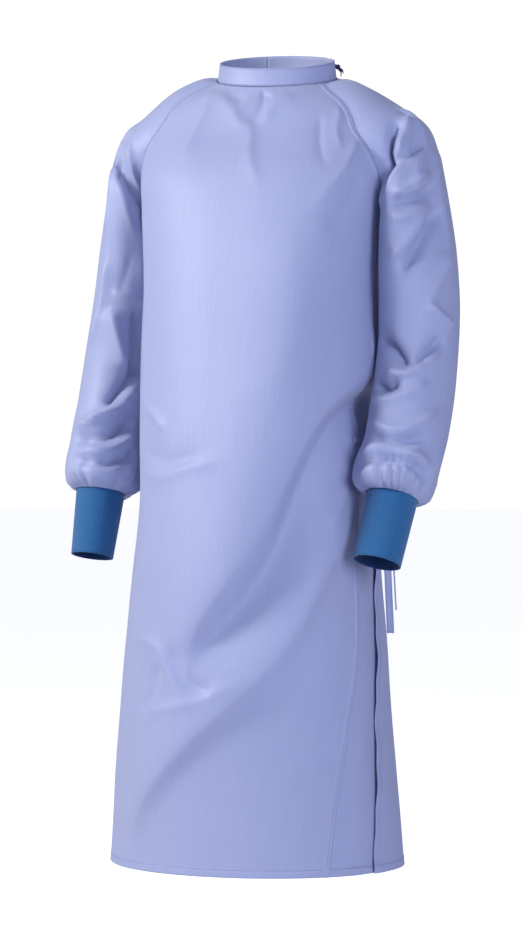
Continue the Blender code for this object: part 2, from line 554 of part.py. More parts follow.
def sleeve_arcs(side, around, along):
    """Points of a sleeve's sections before they settle on the neck and the cuff."""
    around = np.asarray(around)
    along = np.asarray(along)
    sign = ARMS[side]["sign"]
    above = np.clip(along, 0.0, 1.0)
    drop = read(SEAM, "drop", above)
    front_turn = read(SEAM, "front_turn", above)
    back_turn = read(SEAM, "back_turn", above)
    if sign < 0:
        front_turn = 180.0 - front_turn
        back_turn = 180.0 - back_turn
    front_end = body(front_turn, drop, lift=SLEEVE_LIFT)
    back_end = body(back_turn, drop, lift=SLEEVE_LIFT)
    mirror = np.array([sign, 1.0, 1.0])
    outer = np.stack([read(SLEEVE, name, along) for name in "xyz"], axis=-1) * mirror
    outer[..., 2] += outer[..., 0] * read(BODY, "lean", drop) * (1.0 - ease(above))
    inner = np.stack([read(INNER, name, along) for name in "xyz"], axis=-1) * mirror
    first = np.array(INNER_ROWS[0][1:]) * mirror
    underarm_turn = SEAM_ROWS[-1][2] if sign > 0 else 180.0 - SEAM_ROWS[-1][2]
    underarm = body(underarm_turn, SEAM_ROWS[-1][1], lift=SLEEVE_LIFT)
    inner = inner + (underarm - first) * (1.0 - ease((along - 1.0) / UNDERARM_FADE))[..., None]
    below = (along > 1.0)[..., None]
    front_end = np.where(below, inner, front_end)
    back_end = np.where(below, inner, back_end)
    opening = np.radians(read(SLEEVE, "opening", along))
    half = np.where(around <= 0.5, around * 2.0, (1.0 - around) * 2.0)
    angle = opening + (math.pi - opening) * half
    share = (np.cos(opening) - np.cos(angle)) / (1.0 + np.cos(opening))
    seam = np.where((around <= 0.5)[..., None], front_end, back_end)
    points = seam + (outer - seam) * share[..., None]
    depth = np.where(around <= 0.5, -read(SLEEVE, "front", along), read(SLEEVE, "back", along))
    bulge = depth * (np.sin(angle) - (1.0 - share) * np.sin(opening))
    points[..., 1] += bulge
    points[..., 2] += bulge * read(SLEEVE, "pitch", along)
    return points


def sleeve_base(side, around, along):
    """Points of a sleeve before its folds."""
    points = sleeve_arcs(side, around, along)
    neck = body(neck_turn(side, around), 0.0, lift=SLEEVE_LIFT)
    settle = (1.0 - np.clip(along / NECK_FADE, 0.0, 1.0)) ** 2
    points += (neck - sleeve_arcs(side, around, 0.0)) * settle[..., None]
    return to_wrist(side, around, along, points)


def sleeve_normal(side, around, along):
    """Outward directions of a sleeve."""
    step = SLEEVE_STEP
    wrap = along > 1.0
    before = np.where(wrap, (around - step) % 1.0, np.maximum(around - step, 0.0))
    after = np.where(wrap, (around + step) % 1.0, np.minimum(around + step, 1.0))
    high = np.maximum(along - step, 0.0)
    low = np.minimum(along + step, SLEEVE_END)
    round_it = sleeve_base(side, after, along) - sleeve_base(side, before, along)
    down_it = sleeve_base(side, around, low) - sleeve_base(side, around, high)
    normal = np.cross(down_it, round_it) * ARMS[side]["sign"]
    return normal / np.maximum(np.linalg.norm(normal, axis=-1, keepdims=True), 1e-9)


def sleeve(side, around, along):
    """Points of a sleeve: around runs 0 to 1 from its front seam over the shoulder line to
    its back seam, and along runs from the neck past the underarm at 1 to the cuff."""
    height = fold_height(SLEEVE_FOLDS[side], around, along, sleeve_metres, SLEEVE_FINEST)
    from_seam = np.minimum(around, 1.0 - around) * SLEEVE_GIRTH
    below = np.maximum(along - 1.0, 0.0)
    calm = ease(below / UNDERARM_CALM + from_seam / SEAM_CALM)
    calm = calm * ease(along / NECK_CALM) * ease((SLEEVE_END - along) / CUFF_CALM)
    ripple = 0.5 - 0.5 * np.cos(2.0 * math.pi * GATHERS * around)
    drawn = ease((along - GATHER_START) / GATHER_RISE) * ease((SLEEVE_END - along) / GATHER_FADE)
    height = height * calm + GATHER_DEPTH * ripple * drawn
    return sleeve_base(side, around, along) + sleeve_normal(side, around, along) * height[..., None]


def grid_mesh(name, points, closed_from=None):
    """A mesh of four-sided faces through a grid of points, rows by columns."""
    mesh = bmesh.new()
    rows, columns = points.shape[:2]
    corners = []
    for row in range(rows):
        line = [mesh.verts.new(points[row, column]) for column in range(columns)]
        if closed_from is not None and row >= closed_from:
            mesh.verts.remove(line[-1])
            line[-1] = line[0]
        corners.append(line)
    for row in range(rows - 1):
        for column in range(columns - 1):
            square = [corners[row][column], corners[row + 1][column],
                      corners[row + 1][column + 1], corners[row][column + 1]]
            kept = list(dict.fromkeys(square))
            if len(kept) > 2:
                mesh.faces.new(kept)
    data = bpy.data.meshes.new(name)
    mesh.to_mesh(data)
    mesh.free()
    return data


def material(name, finish):
    """A plain material for one node."""
    colour, roughness = finish
    made = bpy.data.materials.new(name)
    made.use_nodes = True
    shader = made.node_tree.nodes["Principled BSDF"]
    shader.inputs["Base Color"].default_value = (*colour, 1.0)
    shader.inputs["Roughness"].default_value = roughness
    shader.inputs["Metallic"].default_value = 0.0
    return made


def sheet(name, points, wall, finish, closed_from=None):
    """A cloth panel: an open sheet with its wall on the inner side."""
    data = grid_mesh(name, points, closed_from)
    panel = bpy.data.objects.new(name, data)
    bpy.data.collections["cover_gown"].objects.link(panel)
    data.shade_smooth()
    data.materials.append(material(name, finish))
    thickness = panel.modifiers.new("wall", "SOLIDIFY")
    thickness.thickness = wall
    thickness.offset = -1.0
    thickness.use_rim = True
    thickness.use_even_offset = False
    return panel


def trimmed(points, top=0.0, left=0.0, right=0.0):
    """Draw the edges of a grid back by small seam allowances."""
    points = points.copy()
    if top:
        step = points[1] - points[0]
        points[0] += step / np.linalg.norm(step, axis=-1, keepdims=True) * top
    if left:
        step = points[:, 1] - points[:, 0]
        points[:, 0] += step / np.linalg.norm(step, axis=-1, keepdims=True) * left
    if right:
        step = points[:, -2] - points[:, -1]
        points[:, -1] += step / np.linalg.norm(step, axis=-1, keepdims=True) * right
    return points


def panel_rows():
    """Drops of the rows of points, from the neck to the hem."""
    upper = read(SEAM, "drop", np.array(UPPER_STEPS))
    count = int(round((HEM_DROP - upper[-1]) / LOWER_STEP))
    lower = np.linspace(upper[-1], HEM_DROP, count + 1)[1:]
    return np.concatenate([upper, lower])


def seam_turns(drop):
    """Turns of the front and back edges of the panels at each row, on the wearer's left and right."""
    along = np.interp(drop, SEAM["drop"], SEAM["along"])
    steps = np.array(UPPER_STEPS)
    along[:len(steps)] = steps
    lower = drop > SEAM["drop"][-1] + 1e-9
    left_side = read(SIDE, "left", drop)
    right_side = read(SIDE, "right", drop)
    front_left = np.where(lower, left_side, read(SEAM, "front_turn", along))
    back_left = np.where(lower, left_side, read(SEAM, "back_turn", along))
    front_right = np.where(lower, right_side, 180.0 - read(SEAM, "front_turn", along))
    back_right = np.where(lower, right_side, 180.0 - read(SEAM, "back_turn", along))
    return front_left, back_left, front_right, back_right


def fan(start, end, columns):
    """Turns across a panel, one row for each drop."""
    share = np.linspace(0.0, 1.0, columns + 1)
    return start[:, None] + (end - start)[:, None] * share[None, :]


def under_inset(turn, drop):
    """How far the under layer lies inside the over layer."""
    edge = read(EDGE, "turn", drop)
    return LAYER_STEP * ease((turn - (edge - LAYER_RAMP - 2.0)) / LAYER_RAMP)


def over_lift(turn, drop):
    """How far the over layer stands off towards its front edge."""
    edge = read(EDGE, "turn", drop)
    near = 1.0 - ease((turn - edge) / EDGE_LIFT_TURN)
    wave = EDGE_WAVE * np.sin(2.0 * math.pi * drop / EDGE_WAVE_LENGTH)
    return (EDGE_LIFT + wave) * near * ease((drop - EDGE_LIFT_START) / EDGE_LIFT_RISE)


def make_front():
    """The front panel, from the right side seam across the chest to the left."""
    drop = panel_rows()
    front_left, _, front_right, _ = seam_turns(drop)
    turn = fan(front_right - 360.0, front_left, FRONT_COLUMNS)
    points = body(turn, drop[:, None])
    points = trimmed(points, SEAM_GAP, SEAM_GAP / 2, SEAM_GAP / 2)
    return sheet("front_panel", points, WALL, CLOTH)


def make_left_back():
    """The under layer of the back, from the left side seam round the back."""
    drop = panel_rows()
    _, back_left, _, _ = seam_turns(drop)
    turn = fan(back_left, np.full(len(drop), UNDER_LAYER_END), LEFT_BACK_COLUMNS)
    points = body(turn, drop[:, None], under_inset(turn, drop[:, None]))
    points = trimmed(points, SEAM_GAP, SEAM_GAP / 2)
    return sheet("left_back_panel", points, WALL, CLOTH)


def make_right_back():
    """The over layer of the back, from its front edge round the back to the right side seam."""
    drop = panel_rows()
    _, _, _, back_right = seam_turns(drop)
    turn = fan(read(EDGE, "turn", drop), back_right, RIGHT_BACK_COLUMNS)
    points = body(turn, drop[:, None], lift=over_lift(turn, drop[:, None]))
    points = trimmed(points, SEAM_GAP, 0.0, SEAM_GAP / 2)
    return sheet("right_back_panel", points, WALL, CLOTH)


def make_sleeve(side):
    """A raglan sleeve, from the neck over the shoulder and down to the cuff."""
    along = np.array(UPPER_STEPS + SLEEVE_LOWER_STEPS)
    around = np.linspace(0.0, 1.0, SLEEVE_COLUMNS_ROUND + 1)
    points = sleeve(side, around[None, :], along[:, None])
    upper = len(UPPER_STEPS)
    points[:upper - 1] = trimmed(points[:upper - 1], SEAM_GAP, SEAM_GAP / 2, SEAM_GAP / 2)
    if ARMS[side]["sign"] < 0:
        points = points[:, ::-1]
    return sheet(side + "_sleeve", points, WALL, CLOTH, closed_from=upper - 1)


def band(turn, height, inset=0.0, lift=0.0):
    """Points of the neck band, at a height above its seam and lifted straight outwards."""
    turn, height, inset = np.broadcast_arrays(turn, height, inset)
    points = body(turn, 0.0, inset)
    points[..., :2] *= (1.0 - BAND_LEAN * height / BAND_HEIGHT)[..., None]
    points[..., 2] += BAND_GAP + height
    along = body_base(turn + TURN_STEP, 0.0, inset) - body_base(turn - TURN_STEP, 0.0, inset)
    outward = np.stack([along[..., 1], -along[..., 0], np.zeros(turn.shape)], axis=-1)
    return points + outward / np.linalg.norm(outward, axis=-1, keepdims=True) * lift


def make_neck_band():
    """The stand band, one strip that starts under the wrap and ends on top of it."""
    turn = np.linspace(UNDER_LAYER_END, read(EDGE, "turn", 0.0) - 360.0, BAND_COLUMNS + 1)
    height = np.linspace(0.0, 1.0, BAND_ROWS + 1)
    inset = np.where(turn > 0, under_inset(turn, 0.0), 0.0)
    points = band(turn[None, :], height[:, None] * BAND_HEIGHT, inset[None, :])
    return sheet("neck_band", points[::-1, ::-1], BAND_WALL, CLOTH)


def make_cuff(side):
    """A knitted tube that the gathered sleeve sits on."""
    arm = ARMS[side]
    around = np.linspace(0.0, 1.0, CUFF_COLUMNS + 1)
    top = np.array(arm["cuff_top"])
    end = np.array(arm["cuff_end"])
    axis = (end - top) / np.linalg.norm(end - top)
    ring = wrist_ring(side, around, 0.0) - top
    rows = []
    for share in np.linspace(0.0, 1.0, CUFF_ROWS + 1):
        scale = [1.0 + (after / before - 1.0) * share
                 for before, after in zip(arm["top_radii"], arm["end_radii"])]
        inward = ring[0] / np.linalg.norm(ring[0])
        across = (ring @ inward)[:, None] * inward
        line = top - axis * CUFF_TUCK + (end - top + axis * CUFF_TUCK) * share
        rows.append(line + across * scale[0] + (ring - across) * scale[1])
    points = np.array(rows)
    if arm["sign"] < 0:
        points = points[:, ::-1]
    return sheet(side + "_cuff", points, CUFF_WALL, KNIT, closed_from=0)


def ribbon(name, centres, across, width, wall, finish):
    """A flat strap along a line of points, with its width along given directions."""
    across = np.broadcast_to(across, centres.shape)
    side = across / np.linalg.norm(across, axis=-1, keepdims=True) * width / 2
    strap = sheet(name, np.stack([centres - side, centres + side], axis=1), wall, finish)
    strap.modifiers["wall"].offset = 0.0
    return strap


def knot(name, centre, size, turn, finish):
    """A small pulled knot: a rounded block turned to face outwards."""
    data = bpy.data.meshes.new(name)
    shape = bmesh.new()
    bmesh.ops.create_cube(shape, size=2.0)
    bmesh.ops.scale(shape, vec=size, verts=shape.verts)
    bmesh.ops.rotate(shape, matrix=Matrix.Rotation(math.radians(turn), 3, "Z"), verts=shape.verts)
    shape.to_mesh(data)
    shape.free()
    block = bpy.data.objects.new(name, data)
    block.location = centre
    bpy.data.collections["cover_gown"].objects.link(block)
    data.shade_smooth()
    data.materials.append(material(name, finish))
    soft = block.modifiers.new("soft", "SUBSURF")
    soft.levels = 2
    soft.render_levels = 2
    return block


def make_waist_tie():
    """The tie at the wearer's left side: two straps, their knot and its hanging ends."""
    half_out, half_round, half_up = (size / 2 for size in KNOT_SIZE)
    knot_lift = TIE_GAP + half_out * KNOT_ROUND
    angle = math.radians(END_FACING)
    outward = np.array([math.cos(angle), math.sin(angle), 0.0])
    forward = np.array([outward[1], -outward[0], 0.0])
    upright = np.array([0.0, 0.0, 1.0])
    middle = body(KNOT_TURN, KNOT_DROP, lift=knot_lift)
    knot("waist_tie_knot", middle, (half_out, half_round, half_up), KNOT_TURN, CLOTH)
    pace = np.linalg.norm(body(KNOT_TURN + 1.0, KNOT_DROP) - body(KNOT_TURN, KNOT_DROP))
    reach = (half_round * KNOT_ROUND + TIE_GAP) / pace
    for name, start, stop in (("waist_tie_front", FRONT_STRAP_TURN, KNOT_TURN - reach),
                              ("waist_tie_back", BACK_STRAP_TURN, KNOT_TURN + reach)):
        share = np.linspace(0.0, 1.0, STRAP_PIECES + 1)
        turn = start + (stop - start) * share
        flat = STRAP_CLEAR + (over_lift(turn, KNOT_DROP) if start > stop else 0.0)
        rise = ease((share + STRAP_RISE - 1.0) / STRAP_RISE)
        run = body(turn, KNOT_DROP, lift=flat + (knot_lift - flat) * rise)
        ribbon(name, run, upright, TIE_WIDTH, TIE_WALL, CLOTH)
    for name, length, place, lean, turn in TIE_ENDS:
        share = np.linspace(0.0, 1.0, END_PIECES + 1)[:, None]
        top = middle - upright * (half_up * KNOT_ROUND + TIE_GAP)
        top = top + outward * place[0] + forward * place[1] + upright * place[2]
        hang = length + (top - middle)[2]
        sway = np.sin(share * math.pi) * forward * END_SWAY
        angle = math.radians(END_FACING + turn)
        facing = np.array([math.cos(angle), math.sin(angle), 0.0])
        centres = top + share * (outward * lean - upright * hang) + sway
        ribbon(name, centres, facing, TIE_WIDTH * END_FOLD, TIE_WALL, CLOTH)


def make_neck_tie():
    """The dark tape that fastens the band: its run, its knot and two ends."""
    stop = NECK_KNOT_TURN + NECK_KNOT_REACH
    turn = np.linspace(NECK_TAPE_TURN, stop, STRAP_PIECES + 1)
    upright = np.array([0.0, 0.0, 1.0])
    share = (turn - NECK_TAPE_TURN) / (stop - NECK_TAPE_TURN)
    seat = NECK_KNOT_SIZE[0] * KNOT_ROUND + TIE_GAP
    lift = TAPE_WALL / 2 + TIE_GAP + (seat - TAPE_WALL) * ease(share)
    run = band(turn, TAPE_HEIGHT, lift=lift[:, None])
    ribbon("neck_tie_tape", run, upright, TAPE_WIDTH, TAPE_WALL, TAPE)
    angle = math.radians(NECK_KNOT_TURN)
    outward = np.array([math.cos(angle), math.sin(angle), 0.0])
    middle = band(NECK_KNOT_TURN, TAPE_HEIGHT, lift=seat)
    knot("neck_tie_knot", middle, NECK_KNOT_SIZE, NECK_KNOT_TURN, TAPE)
    for name, tip in NECK_ENDS:
        share = np.linspace(0.0, 1.0, NECK_END_PIECES + 1)[:, None]
        fall = np.array(tip)
        start = middle + fall / np.linalg.norm(fall) * NECK_KNOT_SIZE[2] * NECK_END_SHARE
        droop = outward * NECK_END_DROOP * np.sin(share * math.pi)
        ribbon(name, start + fall * share + droop, np.cross(outward, fall), TAPE_WIDTH, TAPE_WALL, TAPE)


def main():
    """Build the gown."""
    for old in list(bpy.data.objects):
        bpy.data.objects.remove(old, do_unlink=True)
    collection = bpy.data.collections.new("cover_gown")
    bpy.context.scene.collection.children.link(collection)
    make_front()
    make_left_back()
    make_right_back()
    make_neck_band()
    for side in ARMS:
        make_sleeve(side)
        make_cuff(side)
    make_waist_tie()
    make_neck_tie()


main()
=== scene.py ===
"""Looks of the cover gown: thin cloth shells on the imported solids, with their folds,
seams, sewing, knitted cuffs and ties, under plain studio light.

The front faces -Y, the wearer's left is +X. Lengths are in metres.
"""

import math

import bpy
import numpy as np
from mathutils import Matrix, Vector


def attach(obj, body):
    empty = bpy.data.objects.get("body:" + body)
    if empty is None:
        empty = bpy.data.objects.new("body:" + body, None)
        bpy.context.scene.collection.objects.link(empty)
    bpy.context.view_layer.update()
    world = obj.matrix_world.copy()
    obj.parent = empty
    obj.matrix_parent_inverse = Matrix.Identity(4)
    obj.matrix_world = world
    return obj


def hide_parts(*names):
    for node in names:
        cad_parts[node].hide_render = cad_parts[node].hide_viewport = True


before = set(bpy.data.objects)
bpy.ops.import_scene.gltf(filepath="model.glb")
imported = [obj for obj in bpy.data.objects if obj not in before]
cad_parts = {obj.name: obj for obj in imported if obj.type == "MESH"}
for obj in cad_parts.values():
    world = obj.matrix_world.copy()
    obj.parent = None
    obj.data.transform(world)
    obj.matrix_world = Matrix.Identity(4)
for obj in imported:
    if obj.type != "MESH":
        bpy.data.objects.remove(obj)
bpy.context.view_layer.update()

# Driving dimensions, in metres
HEM_DROP = 1.2
WALL = 0.0012
SEAM_GAP = 0.0007
SLEEVE_LIFT = 0.0004
LAYER_STEP = 0.0042
BAND_HEIGHT = 0.028
BAND_WALL = 0.0016
BAND_GAP = 0.0003
CUFF_WALL = 0.0018
CUFF_TUCK = 0.003
TIE_WIDTH = 0.012
TIE_WALL = 0.0014
TAPE_WIDTH = 0.005
TAPE_WALL = 0.0011
TIE_GAP = 0.0004

# How far round the body the hidden end of the under layer reaches, in degrees
UNDER_LAYER_END = 118.0
# Where the over layer's front edge starts to lift the cloth below it, in degrees
LAYER_RAMP = 9.0
# Steps, in degrees, metres and shares of a sleeve, over which outward directions are measured
TURN_STEP = 0.5
DROP_STEP = 0.002
SLEEVE_STEP = 0.004
# Radius that turns degrees round the body into metres along it
BODY_REACH = 0.19
# Share of the shoulder over which a sleeve settles on to the neck seam
NECK_FADE = 0.3

# Horizontal sections of the body, neck to hem. Turn 0 is the wearer's left side,
# -90 the front and 90 the back. Tilt and lean slope a section with y and with x.
BODY_COLUMNS = "drop width front back x y square tilt lean"
BODY_ROWS = (
    (0.0, 0.0945, 0.078, 0.076, -0.001, 0.0, 2.0, 0.25, -0.06),
    (0.02, 0.14, 0.093, 0.087, 0.0, -0.003, 2.3, 0.23, -0.07),
    (0.075, 0.186, 0.115, 0.115, 0.0, -0.016, 2.5, 0.17, -0.06),
    (0.135, 0.198, 0.137, 0.142, -0.001, -0.032, 2.5, 0.08, -0.03),
    (0.205, 0.19, 0.148, 0.157, -0.002, -0.044, 2.45, 0.0, 0.0),
    (0.3, 0.1811, 0.162, 0.16, -0.002, -0.05, 2.4, 0.0, 0.0),
    (0.436, 0.1797, 0.18, 0.16, -0.002, -0.055, 2.35, 0.0, 0.0),
    (0.56, 0.1779, 0.196, 0.16, 0.0, -0.06, 2.3, 0.0, 0.0),
    (0.65, 0.1755, 0.199, 0.162, 0.001, -0.066, 2.25, 0.0, 0.0),
    (0.772, 0.1864, 0.197, 0.17, 0.0, -0.074, 2.2, 0.0, 0.0),
    (0.864, 0.1962, 0.197, 0.176, 0.0, -0.076, 2.15, 0.0, 0.0),
    (0.955, 0.2039, 0.197, 0.181, -0.001, -0.077, 2.1, 0.0, 0.0),
    (1.047, 0.2137, 0.195, 0.185, -0.001, -0.079, 2.05, 0.0, 0.0),
    (1.138, 0.2224, 0.194, 0.189, 0.0, -0.08, 2.0, 0.0, 0.0),
    (1.2, 0.2277, 0.194, 0.19, 0.0, -0.08, 2.0, 0.0, 0.0),
)

# Raglan seams, from the neck (along 0) to the underarm (along 1)
SEAM_COLUMNS = "along drop front_turn back_turn"
SEAM_ROWS = (
    (0.0, 0.0, -23.0, 32.0),
    (0.25, 0.02, -31.0, 35.0),
    (0.5, 0.075, -31.0, 35.0),
    (0.75, 0.135, -16.0, 25.0),
    (1.0, 0.205, 3.0, 3.0),
)

# The shoulder line and outer edge of the left sleeve, and the depth of each section.
# Opening is the half angle that the section leaves open towards the body.
SLEEVE_COLUMNS = "along x y z front back opening pitch"
SLEEVE_ROWS = (
    (0.0, 0.0945, 0.006, 0.0016, 0.077, 0.075, 157.0, 0.0),
    (0.1, 0.115, 0.004, 0.003, 0.078, 0.078, 140.0, 0.0),
    (0.25, 0.149, 0.002, -0.01, 0.08, 0.08, 118.0, 0.0),
    (0.5, 0.204, 0.0, -0.046, 0.09, 0.09, 98.0, 0.0),
    (0.75, 0.247, -0.002, -0.086, 0.09, 0.09, 80.0, 0.0),
    (0.88, 0.258, -0.003, -0.116, 0.086, 0.086, 56.0, 0.0),
    (1.0, 0.266, -0.004, -0.15, 0.084, 0.083, 0.0, 0.0),
    (1.04, 0.276, -0.006, -0.195, 0.081, 0.08, 0.0, 0.0),
    (1.08, 0.286, -0.008, -0.245, 0.079, 0.078, 0.0, 0.0),
    (1.16, 0.297, -0.014, -0.33, 0.077, 0.075, 0.0, -0.02),
    (1.25, 0.305, -0.033, -0.425, 0.073, 0.072, 0.0, -0.1),
    (1.32, 0.308, -0.052, -0.5, 0.071, 0.07, 0.0, -0.22),
    (1.38, 0.308, -0.078, -0.56, 0.067, 0.066, 0.0, -0.32),
    (1.42, 0.303, -0.1, -0.605, 0.062, 0.061, 0.0, -0.34),
    (1.44, 0.298, -0.112, -0.628, 0.054, 0.053, 0.0, -0.34),
    (1.455, 0.287, -0.116, -0.634, 0.0415, 0.0415, 0.0, -0.34),
)

# The inner edge of the left sleeve below the underarm
INNER_COLUMNS = "along x y z"
INNER_ROWS = (
    (1.0, 0.188, -0.036, -0.205),
    (1.02, 0.1905, -0.036, -0.219),
    (1.04, 0.1895, -0.038, -0.235),
    (1.08, 0.1866, -0.035, -0.275),
    (1.16, 0.186, -0.032, -0.345),
    (1.25, 0.188, -0.041, -0.435),
    (1.32, 0.1892, -0.058, -0.5),
    (1.38, 0.1895, -0.078, -0.558),
    (1.42, 0.188, -0.1, -0.601),
    (1.44, 0.193, -0.112, -0.623),
    (1.455, 0.2045, -0.116, -0.631),
)
SLEEVE_END = 1.455

# Each arm: its sign along X, the middle of the cuff's two ends, and the cuff's half widths
# across and ahead at each end
ARMS = {
    "left": {
        "sign": 1.0,
        "cuff_top": (0.237, -0.128, -0.6445),
        "cuff_end": (0.2264, -0.1651, -0.7408),
        "top_radii": (0.0385, 0.037),
        "end_radii": (0.0365, 0.0335),
    },
    "right": {
        "sign": -1.0,
        "cuff_top": (-0.2514, -0.11, -0.6383),
        "cuff_end": (-0.255, -0.1322, -0.7372),
        "top_radii": (0.038, 0.037),
        "end_radii": (0.0325, 0.033),
    },
}
# Where a forearm starts to turn towards its cuff, and where it meets the cuff's own ring
WRIST_BEND_START = 1.16
WRIST_RING_START = 1.435
# Length below the underarm over which the inner edge leaves the body
UNDERARM_FADE = 0.14

# The front edge of the over layer, round the wearer's left side
EDGE_COLUMNS = "drop turn"
EDGE_ROWS = (
    (0.0, 46.0),
    (0.075, 49.0),
    (0.205, 48.0),
    (0.3, 40.0),
    (0.45, 24.0),
    (0.6, 12.0),
    (0.76, 2.5),
    (0.955, -7.0),
    (1.2, -20.0),
)

# The side seams below the underarm: turn on the wearer's left and right
SIDE_COLUMNS = "drop left right"
SIDE_ROWS = (
    (0.205, 3.0, 177.0),
    (0.45, -4.0, 184.0),
    (0.7, -11.0, 190.0),
    (0.88, -18.0, 195.0),
    (1.02, -30.0, 198.0),
    (1.11, -37.0, 200.0),
    (1.2, -42.5, 202.0),
)

# The folds. Height is how far one stands out in millimetres (a trough is negative), and left
# and right are half its spread, in millimetres, on each side of a path that runs down the
# wearer's left half. The path goes through its places, u and v.
FOLD_COLUMNS = "height left right path"

# On the body, u is a turn in degrees and v a drop in metres
BODY_FOLDS = (
    (21.0, 115.0, 75.0, ((-36.0, 0.06), (-53.0, 0.335), (-73.5, 0.62), (-98.0, 0.915), (-126.0, 1.22))),
    (5.0, 40.0, 30.0, ((-60.0, 0.24), (-60.0, 0.4), (-66.0, 0.53))),
    (12.0, 80.0, 15.0, ((30.0, 0.41), (6.0, 0.44), (-30.0, 0.496), (-44.5, 0.544), (-54.0, 0.604),
                        (-68.0, 0.71), (-91.0, 0.828), (-95.5, 0.888))),
    (-20.0, 14.0, 42.0, ((34.0, 0.47), (10.0, 0.49), (-20.0, 0.516), (-35.5, 0.56), (-46.5, 0.62),
                         (-62.5, 0.736), (-86.0, 0.852), (-92.0, 0.916))),
    (12.0, 42.0, 15.0, ((-9.0, 0.66), (-19.5, 0.692), (-33.0, 0.74), (-49.5, 0.828), (-64.5, 0.896),
                        (-90.0, 0.984), (-119.0, 1.104), (-128.5, 1.172))),
    (3.0, 9.0, 12.0, ((-18.0, 0.62), (-22.0, 0.648), (-33.5, 0.692))),
    (4.0, 11.0, 9.0, ((-132.5, 0.85), (-113.5, 0.86), (-107.5, 0.872), (-101.5, 0.904), (-93.0, 0.955))),
    (-2.5, 16.0, 12.0, ((-107.0, 0.886), (-111.0, 0.928), (-118.5, 0.976))),
    (-3.5, 9.0, 9.0, ((-102.5, 0.86), (-96.5, 0.908), (-85.0, 0.934))),
    (2.5, 8.0, 8.0, ((-122.5, 0.97), (-105.0, 0.956), (-92.0, 0.944), (-72.0, 0.91))),
    (3.5, 13.0, 10.0, ((-31.0, 0.08), (-36.5, 0.128), (-41.0, 0.164), (-53.5, 0.232))),
    (-2.5, 12.0, 26.0, ((-27.0, 0.15), (-33.0, 0.212), (-45.5, 0.26))),
    (3.5, 14.0, 6.0, ((-147.0, 0.0), (-104.0, 0.024), (-92.0, 0.056), (-88.5, 0.072), (-86.0, 0.12),
                      (-77.5, 0.196))),
    (-2.5, 6.0, 6.0, ((-84.0, 0.004), (-86.5, 0.032), (-89.0, 0.064))),
    (2.8, 14.0, 12.0, ((-139.0, 0.008), (-114.5, 0.028), (-111.5, 0.084), (-112.5, 0.136))),
    (2.5, 12.0, 8.0, ((-60.0, 0.006), (-74.5, 0.02), (-81.0, 0.032), (-86.5, 0.064))),
    (-2.0, 5.0, 5.0, ((-112.5, 0.008), (-101.0, 0.016), (-93.0, 0.024))),
    (-2.5, 5.0, 5.0, ((-86.5, 0.003), (-83.5, 0.01), (-79.0, 0.018))),
    (2.0, 8.0, 8.0, ((-37.5, 0.028), (-46.0, 0.068), (-44.0, 0.108))),
    (-2.0, 10.0, 8.0, ((-53.5, 0.04), (-56.5, 0.088), (-50.0, 0.144))),
    (2.6, 8.0, 8.0, ((-137.0, 0.6), (-115.0, 0.616), (-98.5, 0.604), (-82.0, 0.592))),
    (-2.2, 10.0, 10.0, ((-131.5, 0.576), (-107.5, 0.592), (-90.0, 0.58))),
    (3.5, 8.0, 8.0, ((-139.0, 0.496), (-121.5, 0.524), (-111.0, 0.548))),
    (9.0, 34.0, 16.0, ((34.0, 0.57), (76.5, 0.668), (122.0, 0.82))),
    (-9.0, 16.0, 26.0, ((40.0, 0.61), (72.0, 0.745), (104.0, 0.93))),
    (10.0, 46.0, 18.0, ((60.0, 0.28), (75.0, 0.42), (84.0, 0.56))),
    (10.0, 40.0, 18.0, ((92.0, 0.78), (104.0, 0.972), (100.0, 1.19))),
    (-9.0, 18.0, 34.0, ((122.0, 0.7), (132.0, 0.942), (130.0, 1.19))),
    (9.0, 18.0, 34.0, ((172.0, 0.42), (161.5, 0.63), (146.0, 0.86))),
    (8.0, 20.0, 30.0, ((186.0, 0.82), (176.0, 1.002), (166.0, 1.19))),
    (7.0, 16.0, 28.0, ((44.0, 0.86), (41.5, 1.022), (46.0, 1.19))),
    (-7.0, 20.0, 30.0, ((72.0, 0.11), (85.0, 0.232), (84.0, 0.38))),
    (6.0, 18.0, 30.0, ((118.0, 0.11), (113.5, 0.252), (120.0, 0.4))),
    (-5.0, 10.0, 20.0, ((60.0, 0.03), (72.0, 0.07), (74.0, 0.13))),
    (4.0, 12.0, 9.0, ((140.0, 0.01), (122.0, 0.04), (112.0, 0.11))),
    (-5.0, 9.0, 16.0, ((196.0, 0.3), (190.0, 0.36), (172.0, 0.4))),
    (5.0, 10.0, 10.0, ((58.0, 0.64), (66.0, 0.72), (84.0, 0.78))),
)

